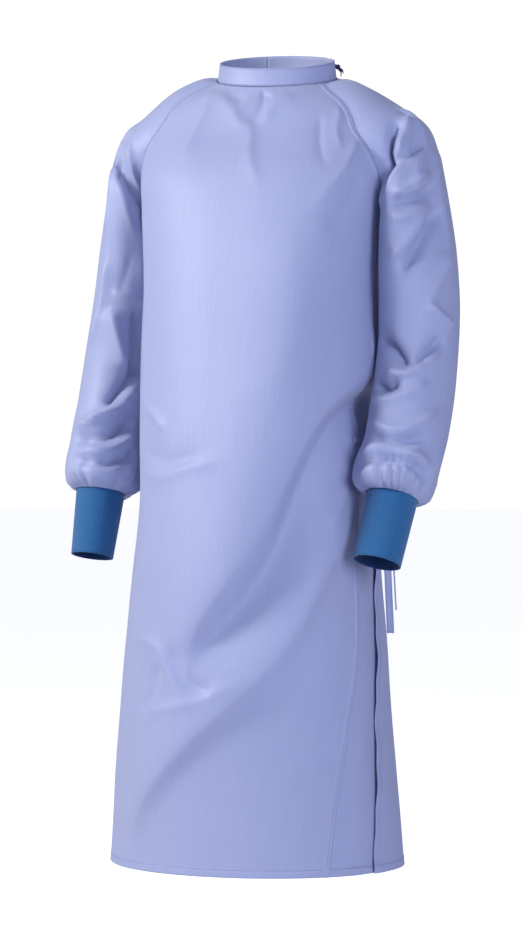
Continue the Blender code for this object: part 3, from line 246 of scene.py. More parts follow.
# On a sleeve, u is the share of the way round and v the place along it
SLEEVE_FOLDS = {
    "left": (
        (4.0, 12.0, 16.0, ((0.44, 0.48), (0.41, 0.7), (0.38, 0.96), (0.33, 1.04))),
        (-3.0, 12.0, 12.0, ((0.4, 0.56), (0.35, 0.74), (0.3, 0.96))),
        (3.5, 14.0, 12.0, ((0.48, 0.9), (0.47, 1.06), (0.44, 1.16))),
        (9.0, 9.0, 26.0, ((0.425, 0.637), (0.25, 0.706), (0.156, 0.9))),
        (-12.0, 12.0, 10.0, ((0.319, 0.647), (0.15, 0.774), (0.18, 1.007))),
        (8.0, 9.0, 9.0, ((0.231, 1.012), (0.325, 1.022), (0.438, 1.002))),
        (-7.0, 8.0, 8.0, ((0.213, 1.027), (0.325, 1.037), (0.456, 1.022))),
        (6.0, 9.0, 9.0, ((0.206, 1.046), (0.306, 1.056), (0.419, 1.046))),
        (-11.0, 14.0, 10.0, ((0.469, 1.046), (0.363, 1.085), (0.25, 1.139))),
        (6.0, 12.0, 12.0, ((0.394, 1.056), (0.3, 1.085), (0.2, 1.109))),
        (6.0, 16.0, 12.0, ((0.45, 1.105), (0.406, 1.148), (0.312, 1.207))),
        (-12.0, 13.0, 11.0, ((0.094, 1.217), (0.213, 1.246), (0.306, 1.28))),
        (8.0, 11.0, 10.0, ((0.344, 1.187), (0.4, 1.206), (0.47, 1.22))),
        (-9.0, 8.0, 8.0, ((0.425, 1.231), (0.363, 1.255), (0.312, 1.275))),
        (9.0, 9.0, 8.0, ((0.181, 1.28), (0.269, 1.29), (0.331, 1.28), (0.419, 1.251))),
        (-10.0, 11.0, 10.0, ((0.119, 1.294), (0.188, 1.309), (0.275, 1.299))),
        (7.0, 12.0, 11.0, ((0.106, 1.324), (0.25, 1.328), (0.388, 1.299))),
        (7.0, 9.0, 8.0, ((0.138, 1.358), (0.244, 1.377), (0.306, 1.377), (0.369, 1.363), (0.469, 1.324))),
        (-8.0, 8.0, 8.0, ((0.144, 1.377), (0.25, 1.392), (0.319, 1.392), (0.419, 1.377))),
        (8.0, 8.0, 7.0, ((0.125, 1.406), (0.263, 1.401), (0.35, 1.406), (0.469, 1.411))),
        (-7.0, 6.0, 6.0, ((0.125, 1.421), (0.263, 1.416), (0.35, 1.416), (0.463, 1.426))),
        (6.0, 6.0, 6.0, ((0.125, 1.431), (0.269, 1.426), (0.344, 1.426), (0.444, 1.436))),
        (-5.0, 14.0, 12.0, ((0.66, 1.205), (0.74, 1.232), (0.86, 1.25))),
        (4.0, 12.0, 10.0, ((0.66, 1.125), (0.74, 1.145), (0.84, 1.14))),
        (4.0, 10.0, 9.0, ((0.65, 1.3), (0.74, 1.32), (0.86, 1.3))),
        (-4.0, 9.0, 8.0, ((0.66, 1.33), (0.75, 1.345), (0.88, 1.33))),
        (4.0, 8.0, 8.0, ((0.64, 1.366), (0.74, 1.375), (0.88, 1.36))),
        (-4.0, 7.0, 7.0, ((0.62, 1.39), (0.74, 1.397), (0.9, 1.385))),
        (4.0, 7.0, 7.0, ((0.62, 1.412), (0.74, 1.418), (0.9, 1.408))),
        (-7.0, 13.0, 15.0, ((0.67, 0.78), (0.75, 0.88), (0.79, 1.01))),
        (4.0, 14.0, 10.0, ((0.66, 0.8), (0.7, 0.96), (0.74, 1.06))),
        (-6.0, 12.0, 12.0, ((0.96, 1.1), (0.9, 1.16), (0.86, 1.24))),
    ),
    "right": (
        (4.0, 12.0, 16.0, ((0.37, 0.56), (0.33, 0.76), (0.3, 0.98), (0.26, 1.12))),
        (-3.0, 12.0, 12.0, ((0.31, 0.64), (0.26, 0.8), (0.22, 0.98))),
        (3.0, 10.0, 12.0, ((0.14, 0.94), (0.1, 1.06), (0.11, 1.14))),
        (-2.5, 10.0, 12.0, ((0.219, 0.86), (0.11, 0.925), (0.081, 1.007))),
        (5.0, 10.0, 10.0, ((0.2, 0.676), (0.08, 0.8), (0.05, 0.93))),
        (4.0, 12.0, 12.0, ((0.3, 0.86), (0.23, 0.96), (0.106, 1.071))),
        (-1.5, 10.0, 12.0, ((0.144, 1.075), (0.175, 1.119), (0.213, 1.163))),
        (6.0, 12.0, 10.0, ((0.275, 1.09), (0.281, 1.168), (0.331, 1.246))),
        (9.0, 11.0, 22.0, ((0.231, 1.173), (0.188, 1.226), (0.138, 1.28))),
        (-11.0, 28.0, 10.0, ((0.129, 1.17), (0.113, 1.225), (0.113, 1.285))),
        (4.5, 8.0, 8.0, ((0.24, 1.15), (0.16, 1.156), (0.07, 1.166))),
        (-8.0, 8.0, 9.0, ((0.07, 1.25), (0.156, 1.309), (0.206, 1.343))),
        (7.0, 9.0, 9.0, ((0.081, 1.294), (0.169, 1.343), (0.269, 1.372))),
        (8.0, 9.0, 8.0, ((0.356, 1.377), (0.25, 1.367), (0.181, 1.353), (0.088, 1.324))),
        (-8.0, 8.0, 7.0, ((0.331, 1.392), (0.231, 1.392), (0.144, 1.382), (0.075, 1.348))),
        (8.0, 7.0, 7.0, ((0.338, 1.406), (0.194, 1.411), (0.125, 1.397), (0.05, 1.367))),
        (-7.0, 7.0, 6.0, ((0.312, 1.421), (0.194, 1.426), (0.094, 1.416), (0.044, 1.392))),
        (7.0, 7.0, 7.0, ((0.344, 1.431), (0.231, 1.431), (0.144, 1.431), (0.05, 1.411))),
        (-5.0, 14.0, 12.0, ((0.56, 1.205), (0.68, 1.228), (0.82, 1.23))),
        (4.0, 12.0, 10.0, ((0.56, 1.11), (0.68, 1.132), (0.8, 1.13))),
        (4.0, 10.0, 9.0, ((0.54, 1.3), (0.68, 1.312), (0.84, 1.3))),
        (-8.0, 9.0, 8.0, ((0.48, 1.325), (0.66, 1.342), (0.86, 1.33))),
        (7.0, 8.0, 8.0, ((0.47, 1.358), (0.68, 1.372), (0.88, 1.36))),
        (-7.0, 7.0, 7.0, ((0.48, 1.383), (0.7, 1.395), (0.9, 1.386))),
        (7.0, 7.0, 7.0, ((0.5, 1.408), (0.72, 1.417), (0.9, 1.409))),
        (-10.0, 12.0, 14.0, ((0.64, 0.7), (0.76, 0.86), (0.8, 1.01))),
        (4.0, 14.0, 10.0, ((0.66, 0.8), (0.7, 0.96), (0.74, 1.06))),
    ),
}
# Metres round a sleeve and down its shoulder, which turn its u and v into distances
SLEEVE_GIRTH = 0.38
SHOULDER_LENGTH = 0.26
# Gathers of a sleeve into its cuff
GATHERS = 7
GATHER_DEPTH = 0.005
GATHER_START = 1.37
GATHER_RISE = 0.05
GATHER_FADE = 0.03
# Fine pleats between the gathers: how many, how unevenly spaced, how deep and where they start
PLEATS = 17
PLEAT_DRIFT = 0.9
PLEAT_DEPTH = 0.0022
PLEAT_START = 1.395
PLEAT_RISE = 0.035
# How far a fold fades out short of a seam
SEAM_CALM = 0.02
# Length over which folds start below the neck, below the underarm and above the cuff
NECK_CALM = 0.15
UNDERARM_CALM = 0.03
CUFF_CALM = 0.012
# Pieces between two places of a fold's path, the share of it that tapers,
# how much is left at its ends, and how many widths away it is still felt
FOLD_PIECES = 3
FOLD_TAPER = 0.22
FOLD_END = 0.1
FOLD_REACH = 3.2
# A fold at least this wide, in millimetres, is soft, and a narrower one is a crease with a
# sharper crest. The radius of a crest is in metres. One gain is for the folds that stand out
# and the other for those that go in.
BROAD_FOLD = 30.0
FOLD_SOFT = 1.7
FOLD_SHARP = 1.05
CREST_ROUND = 0.0016
CREASE_GAIN = 1.65
TROUGH_GAIN = 2.0
# Share of its width that a crease of a sleeve keeps in the fine cloth
SLEEVE_NARROW = 0.68
# The narrowest fold that each mesh can hold, in metres
BODY_FINEST = 0.004
SLEEVE_FINEST = 0.004

# The over layer stands off near its front edge
EDGE_LIFT = 0.0016
EDGE_LIFT_TURN = 14.0
EDGE_LIFT_START = 0.45
EDGE_LIFT_RISE = 0.15
EDGE_WAVE = 0.0016
EDGE_WAVE_LENGTH = 0.17

# The waist tie: its knot, where its two straps are sewn on, and how long its ends hang
KNOT_TURN = 11.0
KNOT_DROP = 0.56
# Sizes outwards, round the body and upwards
KNOT_SIZE = (0.0135, 0.012, 0.015)
# How far a rounded block reaches, as a share of its size
KNOT_ROUND = 0.84
FRONT_STRAP_TURN = -13.0
BACK_STRAP_TURN = 36.0
STRAP_CLEAR = 0.0022
STRAP_PIECES = 8
# Share of a strap's length over which it rises to the knot
STRAP_RISE = 0.4
# Which way the hanging ends face, as a turn
END_FACING = 23.0
# Each end: how far down it hangs, where it leaves the knot (outwards, forwards and upwards),
# how far its foot stands out from its top, and how far its width turns from facing outwards
TIE_ENDS = (
    ("waist_tie_long_end", 0.292, (0.0013, 0.0, 0.0), 0.013, 4.0),
    ("waist_tie_short_end", 0.256, (0.0083, -0.004, 0.003), 0.0145, 84.0),
)
END_PIECES = 7
END_SWAY = 0.003
# Share of the tie's width that a hanging end shows, since it folds along its length
END_FOLD = 0.92

# The neck tie: turns of its knot and of the start of its tape on the band
NECK_KNOT_TURN = 21.0
NECK_TAPE_TURN = 52.0
NECK_KNOT_SIZE = (0.0042, 0.0036, 0.004)
TAPE_HEIGHT = 0.0175
# How each end of the tape falls away from the knot
NECK_ENDS = (
    ("neck_tie_long_end", (0.007, -0.007, -0.012)),
    ("neck_tie_short_end", (0.003, 0.009, -0.006)),
)
NECK_END_SHARE = 0.98
NECK_END_PIECES = 3
NECK_END_DROOP = 0.002
# How far from the knot's middle the tape stops, in degrees
NECK_KNOT_REACH = 2.3

# Rows and columns of the fine shells
FINE_ROW = 0.0055
FRONT_COLUMNS = 150
RIGHT_BACK_COLUMNS = 100
LEFT_BACK_COLUMNS = 56
SLEEVE_COLUMNS_ROUND = 96
UPPER_COUNT = 40
BAND_COLUMNS = 260
BAND_ROWS = 8
HEM_POINTS = 400
CUFF_COLUMNS = 120
CUFF_ROWS = 26
# How far the band's rim draws in, as a share of the neck
BAND_LEAN = 0.035


# Camera and light
CAMERA_PLACE = (1.7344, -4.1524, -0.612)
CAMERA_TURN = 23.0
CAMERA_LENS = 110.0
FLOOR_SIZE = 120.0
FLOOR_HEIGHT = -1.42
# Extra light of the floor where the camera sees it, which keeps the ground white
FLOOR_GLOW = 0.78
# Light of the pale walls all round, how much of it comes from each side as x, y and z,
# and the white of the backdrop
WALL_LIGHT = 0.2
WALL_SLOPE = (-0.1, -0.05, 0.08)
WALL_COLOUR = (0.88, 0.95, 1.35, 1.0)
BACKDROP_LIGHT = 1.05
# Each softbox: its place, what it is aimed at, its size, its power in watts and its colour
LIGHTS = (
    ("key_softbox", (-2.45, -2.25, 1.2), (0.0, 0.0, -0.8), (0.9, 1.1), 117.0, (1.0, 0.985, 0.95)),
    ("fill_softbox", (3.2, -2.4, 0.2), (0.0, 0.0, -0.6), (1.2, 1.6), 66.0, (0.93, 0.97, 1.2)),
)

# Finish sizes and colours
RIB_SPACING = 0.005
WEFT_SPACING = 0.005
WAVE_UNIT = 0.314159
KNIT_RIB = 0.003
KNIT_COURSE = 0.003
CLOTH_LIGHT = "a9b1d2"
CLOTH_SHADE = "9aa3c9"
KNIT_LIGHT = "3678ac"
KNIT_SHADE = "255f94"
# Darker knit colours for the inside of the cuffs: painted shade inside the tube
KNIT_PAINTED_SHADE_LIGHTER = "1f4a86"
KNIT_PAINTED_SHADE_DARKER = "163765"
PUCKER_REACH = 0.01
# Felled seams: how far the laid seam stands out, its width and the roundness of its edge
FELL_RISE = 0.0011
FELL_WIDTH = 0.0068
FELL_EDGE = 0.001
# Columns of points that a panel has next to a seam, in metres from it
FELL_COLUMNS = (0.0005, 0.002, 0.004, 0.006, 0.0069, 0.008)
# How far the lower cloth of a seam runs on under the upper
SEAM_UNDERLAP = 0.0016
# The hem: the depth of its turning, how far that stands out, and rows of points next to it
HEM_DEPTH = 0.012
HEM_RISE = 0.0005
HEM_ROWS = (0.014, 0.0128, 0.0115, 0.007, 0.002, 0.0)
# The free front edge of the over layer: the width of its turning
EDGE_TURNING = 0.009
# Sewing: how far each of a seam's two rows is from it, and the stitches' spacing, length and radius
SEAM_STITCHES = (0.0012, 0.0058)
BAND_STITCHES = (0.0018, 0.0255)
STITCH_SPACING = 0.0033
STITCH_LENGTH = 0.0025
STITCH_RADIUS = 0.00036
STITCH_SINK = 0.00005
# Points along a strap and across it, for the modelled ties
TIE_STEPS = 60
TIE_ACROSS = 8
# The stitched box at the end of a waist tie: its length and its distance from the edges
TIE_BOX = 0.01
TIE_INSET = 0.0016
# A knot of folded cloth: rows and columns, its wraps and how deep the creases between them are
KNOT_ROWS = 36
KNOT_COLUMNS = 48
KNOT_WRAPS = 2.5
KNOT_SLANT = 1.1
KNOT_CREASE = 0.16
SLEEVE_ROW = 0.005

# Where the step of the turned hem starts above its line of sewing, and how long it is
HEM_STEP_START = 0.0008
HEM_STEP = 0.0014
HEM_SEWING_IN = 0.0006
# The ramp of the under layer ends this many degrees before the over layer's edge
LAYER_SPARE = 2.0
# A second, shorter wave in the free edge, as shares of the first one
EDGE_RIPPLE = 0.6
EDGE_RIPPLE_LENGTH = 0.37
EDGE_RIPPLE_START = 1.0
KNOT_CREASE_WIDTH = 0.35
# How far a strap's sewing moves away from the knot, as a share of its distance
STRAP_SEWING_OUT = 0.002
# Patterns of the cloth, knit, tape and thread, in turns to a metre, how deep each is in metres,
# and how much it darkens the colour
SLUB_SCALE = (420.0, 14.0, 1.0)
PUCKER_SCALE = (60.0, 60.0, 1.0)
FLECK_SCALE = (700.0, 260.0, 1.0)
CLOUD_SCALE = 5.0
TWILL_SCALE = 900.0
TWIST_SCALE = 1500.0
WEAVE_DEPTH = 0.0002
PUCKER_DEPTH = 0.0022
KNIT_DEPTH = 0.0006
TWILL_DEPTH = 0.0003
RIB_TINT = 0.025
KNIT_TINT = 0.3
CLOUD_DARK = 0.965
CLOUD_BRIGHT = 1.035
TAPE_SHADE = "1d1b52"
TAPE_LIGHT = "38367c"
THREAD_SHADE = "46518f"
THREAD_LIGHT = "5f6aac"
FLOOR_COLOUR = "e4e4ea"
WHITE = (1.0, 1.0, 1.0, 1.0)
SENSOR_WIDTH = 36.0


def table(names, rows):
    """Columns of a table as arrays, by name."""
    return {name: np.array([row[place] for row in rows]) for place, name in enumerate(names.split())}


def curve(keys, values, at):
    """Read values at places between their keys, along a smooth curve."""
    slopes = np.gradient(values, keys)
    at = np.clip(np.asarray(at, dtype=float), keys[0], keys[-1])
    start = np.clip(np.searchsorted(keys, at, side="right") - 1, 0, len(keys) - 2)
    span = keys[start + 1] - keys[start]
    part = (at - keys[start]) / span
    blend = part * part * (3 - 2 * part)
    lead = part * (1 - part) ** 2 * span
    trail = part * part * (part - 1) * span
    ends = values[start] * (1 - blend) + values[start + 1] * blend
    return ends + slopes[start] * lead + slopes[start + 1] * trail


def read(columns, name, at):
    """Read a column at places between its rows."""
    return curve(columns[columns["key"]], columns[name], at)


def keyed(names, rows):
    """A table whose first column is the one it is read along."""
    columns = table(names, rows)
    columns["key"] = names.split()[0]
    return columns


BODY = keyed(BODY_COLUMNS, BODY_ROWS)
SEAM = keyed(SEAM_COLUMNS, SEAM_ROWS)
SLEEVE = keyed(SLEEVE_COLUMNS, SLEEVE_ROWS)
INNER = keyed(INNER_COLUMNS, INNER_ROWS)
EDGE = keyed(EDGE_COLUMNS, EDGE_ROWS)
SIDE = keyed(SIDE_COLUMNS, SIDE_ROWS)


def ease(value):
    """A smooth step from 0 to 1."""
    value = np.clip(value, 0.0, 1.0)
    return value * value * (3 - 2 * value)


def body_base(turn, drop, inset):
    """Points of the body before its folds, for a turn in degrees and a drop in metres."""
    angle = np.radians(turn)
    power = 2.0 / read(BODY, "square", drop)
    across = np.sign(np.cos(angle)) * np.abs(np.cos(angle)) ** power
    ahead = np.sign(np.sin(angle)) * np.abs(np.sin(angle)) ** power
    depth = np.where(ahead < 0, read(BODY, "front", drop), read(BODY, "back", drop))
    x = read(BODY, "x", drop) + (read(BODY, "width", drop) - inset) * across
    y = read(BODY, "y", drop) + (depth - inset) * ahead
    z = -drop + read(BODY, "tilt", drop) * y + read(BODY, "lean", drop) * x
    return np.stack([x, y, z], axis=-1)


def body_normal(turn, drop, inset):
    """Outward directions of the body."""
    around = body_base(turn + TURN_STEP, drop, inset) - body_base(turn - TURN_STEP, drop, inset)
    low = np.minimum(drop + DROP_STEP, HEM_DROP)
    high = np.maximum(drop - DROP_STEP, 0.0)
    down = body_base(turn, low, inset) - body_base(turn, high, inset)
    normal = np.cross(down, around)
    return normal / np.linalg.norm(normal, axis=-1, keepdims=True)


def fold_path(places):
    """Places along a smooth path through those given."""
    keys = np.arange(len(places), dtype=float)
    at = np.linspace(0.0, keys[-1], FOLD_PIECES * (len(places) - 1) + 1)
    return (curve(keys, np.array([place[0] for place in places]), at),
            curve(keys, np.array([place[1] for place in places]), at))


def fold_height(folds, u, v, metres, finest, narrow=1.0):
    """Height of all the folds of a table at places u, v. The metres function gives the
    distances along u and v between two places. A fold narrower than the finest width is
    spread to it and lowered as much."""
    u, v = np.broadcast_arrays(u, v)
    total = np.zeros(u.shape)
    for row in folds:
        fold = dict(zip(FOLD_COLUMNS.split(), row))
        path_u, path_v = fold_path(fold["path"])
        reach = FOLD_REACH * max(fold["left"] / 1000.0, fold["right"] / 1000.0, finest)
        middle = len(path_u) // 2
        far_u, far_v = metres(path_u[middle], path_v[middle], u, v)
        span_u, span_v = metres(path_u[middle], path_v[middle], path_u, path_v)
        close_by = np.abs(far_u) < np.abs(span_u).max() + reach
        close_by &= np.abs(far_v) < np.abs(span_v).max() + reach
        near_u, near_v = u[close_by], v[close_by]
        nearest = np.full(near_u.shape, np.inf)
        place = np.zeros(near_u.shape)
        leftness = np.zeros(near_u.shape)
        pieces = len(path_u) - 1
        for piece in range(pieces):
            to_u, to_v = metres(path_u[piece], path_v[piece], near_u, near_v)
            run_u, run_v = metres(path_u[piece], path_v[piece], path_u[piece + 1], path_v[piece + 1])
            part = np.clip((to_u * run_u + to_v * run_v) / (run_u ** 2 + run_v ** 2), 0.0, 1.0)
            off_u = to_u - part * run_u
            off_v = to_v - part * run_v
            gap = np.hypot(off_u, off_v)
            closer = gap < nearest
            nearest = np.where(closer, gap, nearest)
            place = np.where(closer, (piece + part) / pieces, place)
            side = (run_u * off_v - run_v * off_u) / (np.hypot(run_u, run_v) * gap + 1e-9)
            leftness = np.where(closer, side, leftness)
        taper = ease(place / FOLD_TAPER) * ease((1.0 - place) / FOLD_TAPER)
        width = fold["right"] + (fold["left"] - fold["right"]) * ease(0.5 + 0.5 * leftness)
        width = width / 1000.0 * narrow
        spread = np.maximum(width, finest)
        crest = np.hypot(nearest, CREST_ROUND) - CREST_ROUND
        sharp = FOLD_SOFT if max(fold["left"], fold["right"]) > BROAD_FOLD else FOLD_SHARP
        gain = CREASE_GAIN if fold["height"] > 0.0 else TROUGH_GAIN
        gain = 1.0 if max(fold["left"], fold["right"]) > BROAD_FOLD else gain
        rounded = gain * np.exp(-((crest / spread) ** sharp)) * width / spread
        total[close_by] += fold["height"] / 1000.0 * rounded * (FOLD_END + (1.0 - FOLD_END) * taper)
    return total


def body_metres(from_u, from_v, to_u, to_v):
    """Distances between two places on the body."""
    around = (np.asarray(to_u) - from_u + 180.0) % 360.0 - 180.0
    return np.radians(around) * BODY_REACH, np.asarray(to_v) - from_v


def sleeve_length(along):
    """Metres down a sleeve from its underarm."""
    return np.where(along < 1.0, (along - 1.0) * SHOULDER_LENGTH, along - 1.0)


def sleeve_metres(from_u, from_v, to_u, to_v):
    """Distances between two places on a sleeve."""
    down = sleeve_length(np.asarray(to_v)) - sleeve_length(np.asarray(from_v))
    return (np.asarray(to_u) - from_u) * SLEEVE_GIRTH, down


def body(turn, drop, inset=0.0, lift=0.0):
    """Points of the body cloth with its folds."""
    turn, drop, inset, lift = np.broadcast_arrays(turn, drop, inset, lift)
    points = body_base(turn, drop, inset)
    height = fold_height(BODY_FOLDS, turn, drop, body_metres, BODY_FINEST)
    return points + body_normal(turn, drop, inset) * (height * ease(drop / SEAM_CALM) + lift)[..., None]


def neck_turn(side, around):
    """Turn of each column of a sleeve where it meets the neck seam."""
    front_turn = SEAM_ROWS[0][2]
    back_turn = SEAM_ROWS[0][3]
    turn = front_turn + (back_turn - front_turn) * around
    return turn if ARMS[side]["sign"] > 0 else 180.0 - turn


def wrist_ring(side, around, spare):
    """A ring round the top of a cuff, standing off it by a spare width."""
    arm = ARMS[side]
    top = np.array(arm["cuff_top"])
    axis = np.array(arm["cuff_end"]) - top
    axis /= np.linalg.norm(axis)
    inward = np.array([-arm["sign"], 0.0, 0.0])
    inward -= axis * inward.dot(axis)
    inward /= np.linalg.norm(inward)
    ahead = np.array([0.0, -1.0, 0.0])
    ahead -= axis * ahead.dot(axis)
    ahead -= inward * ahead.dot(inward)
    ahead /= np.linalg.norm(ahead)
    angle = np.asarray(around) * 2.0 * math.pi
    across, deep = arm["top_radii"]
    ring = np.cos(angle)[..., None] * inward * (across + spare)
    return top + ring + np.sin(angle)[..., None] * ahead * (deep + spare)


def to_wrist(side, around, along, points):
    """Swing the forearm to where its cuff is, and end the sleeve in a ring round the cuff."""
    arm = ARMS[side]
    first = np.array([arm["sign"], 1.0, 1.0])
    end_inner = np.array(INNER_ROWS[-1][1:])
    end_outer = np.array(SLEEVE_ROWS[-1][1:4])
    shift = np.array(arm["cuff_top"]) - (end_inner + end_outer) / 2 * first
    swing = ease((along - WRIST_BEND_START) / (SLEEVE_END - WRIST_BEND_START))
    moved = points + shift * swing[..., None]
    ring = wrist_ring(side, around, WALL)
    closing = ease((along - WRIST_RING_START) / (SLEEVE_END - WRIST_RING_START))
    return moved + (ring - moved) * closing[..., None]


def sleeve_arcs(side, around, along):
    """Points of a sleeve's sections before they settle on the neck and the cuff."""
    around = np.asarray(around)
    along = np.asarray(along)
    sign = ARMS[side]["sign"]
    above = np.clip(along, 0.0, 1.0)
    drop = read(SEAM, "drop", above)
    front_turn = read(SEAM, "front_turn", above)
    back_turn = read(SEAM, "back_turn", above)
    if sign < 0:
        front_turn = 180.0 - front_turn
        back_turn = 180.0 - back_turn
    front_end = body(front_turn, drop, lift=SLEEVE_LIFT)
    back_end = body(back_turn, drop, lift=SLEEVE_LIFT)
    mirror = np.array([sign, 1.0, 1.0])
    outer = np.stack([read(SLEEVE, name, along) for name in "xyz"], axis=-1) * mirror
    outer[..., 2] += outer[..., 0] * read(BODY, "lean", drop) * (1.0 - ease(above))
    inner = np.stack([read(INNER, name, along) for name in "xyz"], axis=-1) * mirror
    first = np.array(INNER_ROWS[0][1:]) * mirror
    underarm_turn = SEAM_ROWS[-1][2] if sign > 0 else 180.0 - SEAM_ROWS[-1][2]
    underarm = body(underarm_turn, SEAM_ROWS[-1][1], lift=SLEEVE_LIFT)
    inner = inner + (underarm - first) * (1.0 - ease((along - 1.0) / UNDERARM_FADE))[..., None]
    below = (along > 1.0)[..., None]
    front_end = np.where(below, inner, front_end)
    back_end = np.where(below, inner, back_end)
    opening = np.radians(read(SLEEVE, "opening", along))
    half = np.where(around <= 0.5, around * 2.0, (1.0 - around) * 2.0)
    angle = opening + (math.pi - opening) * half
    share = (np.cos(opening) - np.cos(angle)) / (1.0 + np.cos(opening))
    seam = np.where((around <= 0.5)[..., None], front_end, back_end)
    points = seam + (outer - seam) * share[..., None]
    depth = np.where(around <= 0.5, -read(SLEEVE, "front", along), read(SLEEVE, "back", along))
    bulge = depth * (np.sin(angle) - (1.0 - share) * np.sin(opening))
    points[..., 1] += bulge
    points[..., 2] += bulge * read(SLEEVE, "pitch", along)
    return points


def sleeve_base(side, around, along):
    """Points of a sleeve before its folds."""
    points = sleeve_arcs(side, around, along)
    neck = body(neck_turn(side, around), 0.0, lift=SLEEVE_LIFT)
    settle = (1.0 - np.clip(along / NECK_FADE, 0.0, 1.0)) ** 2
    points += (neck - sleeve_arcs(side, around, 0.0)) * settle[..., None]
    return to_wrist(side, around, along, points)


def sleeve_normal(side, around, along):
    """Outward directions of a sleeve."""
    step = SLEEVE_STEP
    wrap = along > 1.0
    before = np.where(wrap, (around - step) % 1.0, np.maximum(around - step, 0.0))
    after = np.where(wrap, (around + step) % 1.0, np.minimum(around + step, 1.0))
    high = np.maximum(along - step, 0.0)
    low = np.minimum(along + step, SLEEVE_END)
    round_it = sleeve_base(side, after, along) - sleeve_base(side, before, along)
    down_it = sleeve_base(side, around, low) - sleeve_base(side, around, high)
    normal = np.cross(down_it, round_it) * ARMS[side]["sign"]
    return normal / np.maximum(np.linalg.norm(normal, axis=-1, keepdims=True), 1e-9)


def sleeve(side, around, along):
    """Points of a sleeve: around runs 0 to 1 from its front seam over the shoulder line to
    its back seam, and along runs from the neck past the underarm at 1 to the cuff."""
    height = fold_height(SLEEVE_FOLDS[side], around, along, sleeve_metres, SLEEVE_FINEST, SLEEVE_NARROW)
    from_seam = np.minimum(around, 1.0 - around) * SLEEVE_GIRTH
    below = np.maximum(along - 1.0, 0.0)
    calm = ease(below / UNDERARM_CALM + from_seam / SEAM_CALM)
    calm = calm * ease(along / NECK_CALM) * ease((SLEEVE_END - along) / CUFF_CALM)
    ripple = 0.5 - 0.5 * np.cos(2.0 * math.pi * GATHERS * around)
    drawn = ease((along - GATHER_START) / GATHER_RISE) * ease((SLEEVE_END - along) / GATHER_FADE)
    pleats = np.cos(2.0 * math.pi * (PLEATS * around + PLEAT_DRIFT * np.sin(6.0 * math.pi * around)))
    pleats = pleats * ease((along - PLEAT_START) / PLEAT_RISE) * ease((SLEEVE_END - along) / CUFF_CALM)
    height = height * calm + GATHER_DEPTH * ripple * drawn + PLEAT_DEPTH * pleats
    return sleeve_base(side, around, along) + sleeve_normal(side, around, along) * height[..., None]


def hex_colour(text):
    """An sRGB hex colour as linear RGBA."""
    parts = [int(text[place:place + 2], 16) / 255.0 for place in (0, 2, 4)]
    linear = [part / 12.92 if part <= 0.04045 else ((part + 0.055) / 1.055) ** 2.4
              for part in parts]
    return linear + [1.0]


def add(tree, kind, settings=None, values=None, **links):
    """Add a node with its settings, its input values and the sockets linked into it."""
    node = tree.nodes.new(kind)
    for name, value in (settings or {}).items():
        setattr(node, name, value)
    for name, value in (values or {}).items():
        node.inputs[name].default_value = value
    for name, source in links.items():
        socket = int(name[1:]) if name[1:].isdigit() else name.replace("_", " ")
        tree.links.new(source, node.inputs[socket])
    return node


def new_material(name):
    """A material with its tree, its shader and nothing linked yet."""
    made = bpy.data.materials.new(name)
    made.use_nodes = True
    return made, made.node_tree, made.node_tree.nodes["Principled BSDF"]


def spread(tree, where, scale):
    """The places of the cloth's UV map, as so many turns of a pattern to a metre."""
    return add(tree, "ShaderNodeMapping", values={"Scale": scale}, Vector=where.outputs["UV"])


def bands(tree, direction, places, **values):
    """Even ribs that follow each other along a direction."""
    settings = {"wave_type": "BANDS", "bands_direction": direction, "wave_profile": "SIN"}
    values = {name.replace("_", " "): value for name, value in values.items()}
    return add(tree, "ShaderNodeTexWave", settings, {"Scale": WAVE_UNIT, **values},
               Vector=places.outputs["Vector"])


def noise(tree, places, **values):
    """Noise over places."""
    return add(tree, "ShaderNodeTexNoise", values=values, Vector=places)


def two_tones(tree, shade, light, amount):
    """A mix of two colours by the strength of a noise."""
    return add(tree, "ShaderNodeMix", {"data_type": "RGBA"},
               {"A": hex_colour(shade), "B": hex_colour(light)}, Factor=amount.outputs["Fac"])


def darkened(tree, share, colour, pattern):
    """A colour multiplied by a share of a pattern."""
    return add(tree, "ShaderNodeMix", {"data_type": "RGBA", "blend_type": "MULTIPLY"},
               {"Factor": share}, A=colour.outputs["Result"], B=pattern.outputs["Color"])


def bumped(tree, strength, depth, height, **links):
    """A bump of a depth in metres."""
    return add(tree, "ShaderNodeBump", values={"Strength": strength, "Distance": depth},
               Height=height, **links)


def finished(tree, shader, colour, bump=None, **values):
    """Link the colour and bump into a shader and set its other values."""
    tree.links.new(colour, shader.inputs["Base Color"])
    if bump:
        tree.links.new(bump.outputs["Normal"], shader.inputs["Normal"])
    for name, value in values.items():
        shader.inputs[name.replace("_", " ")].default_value = value


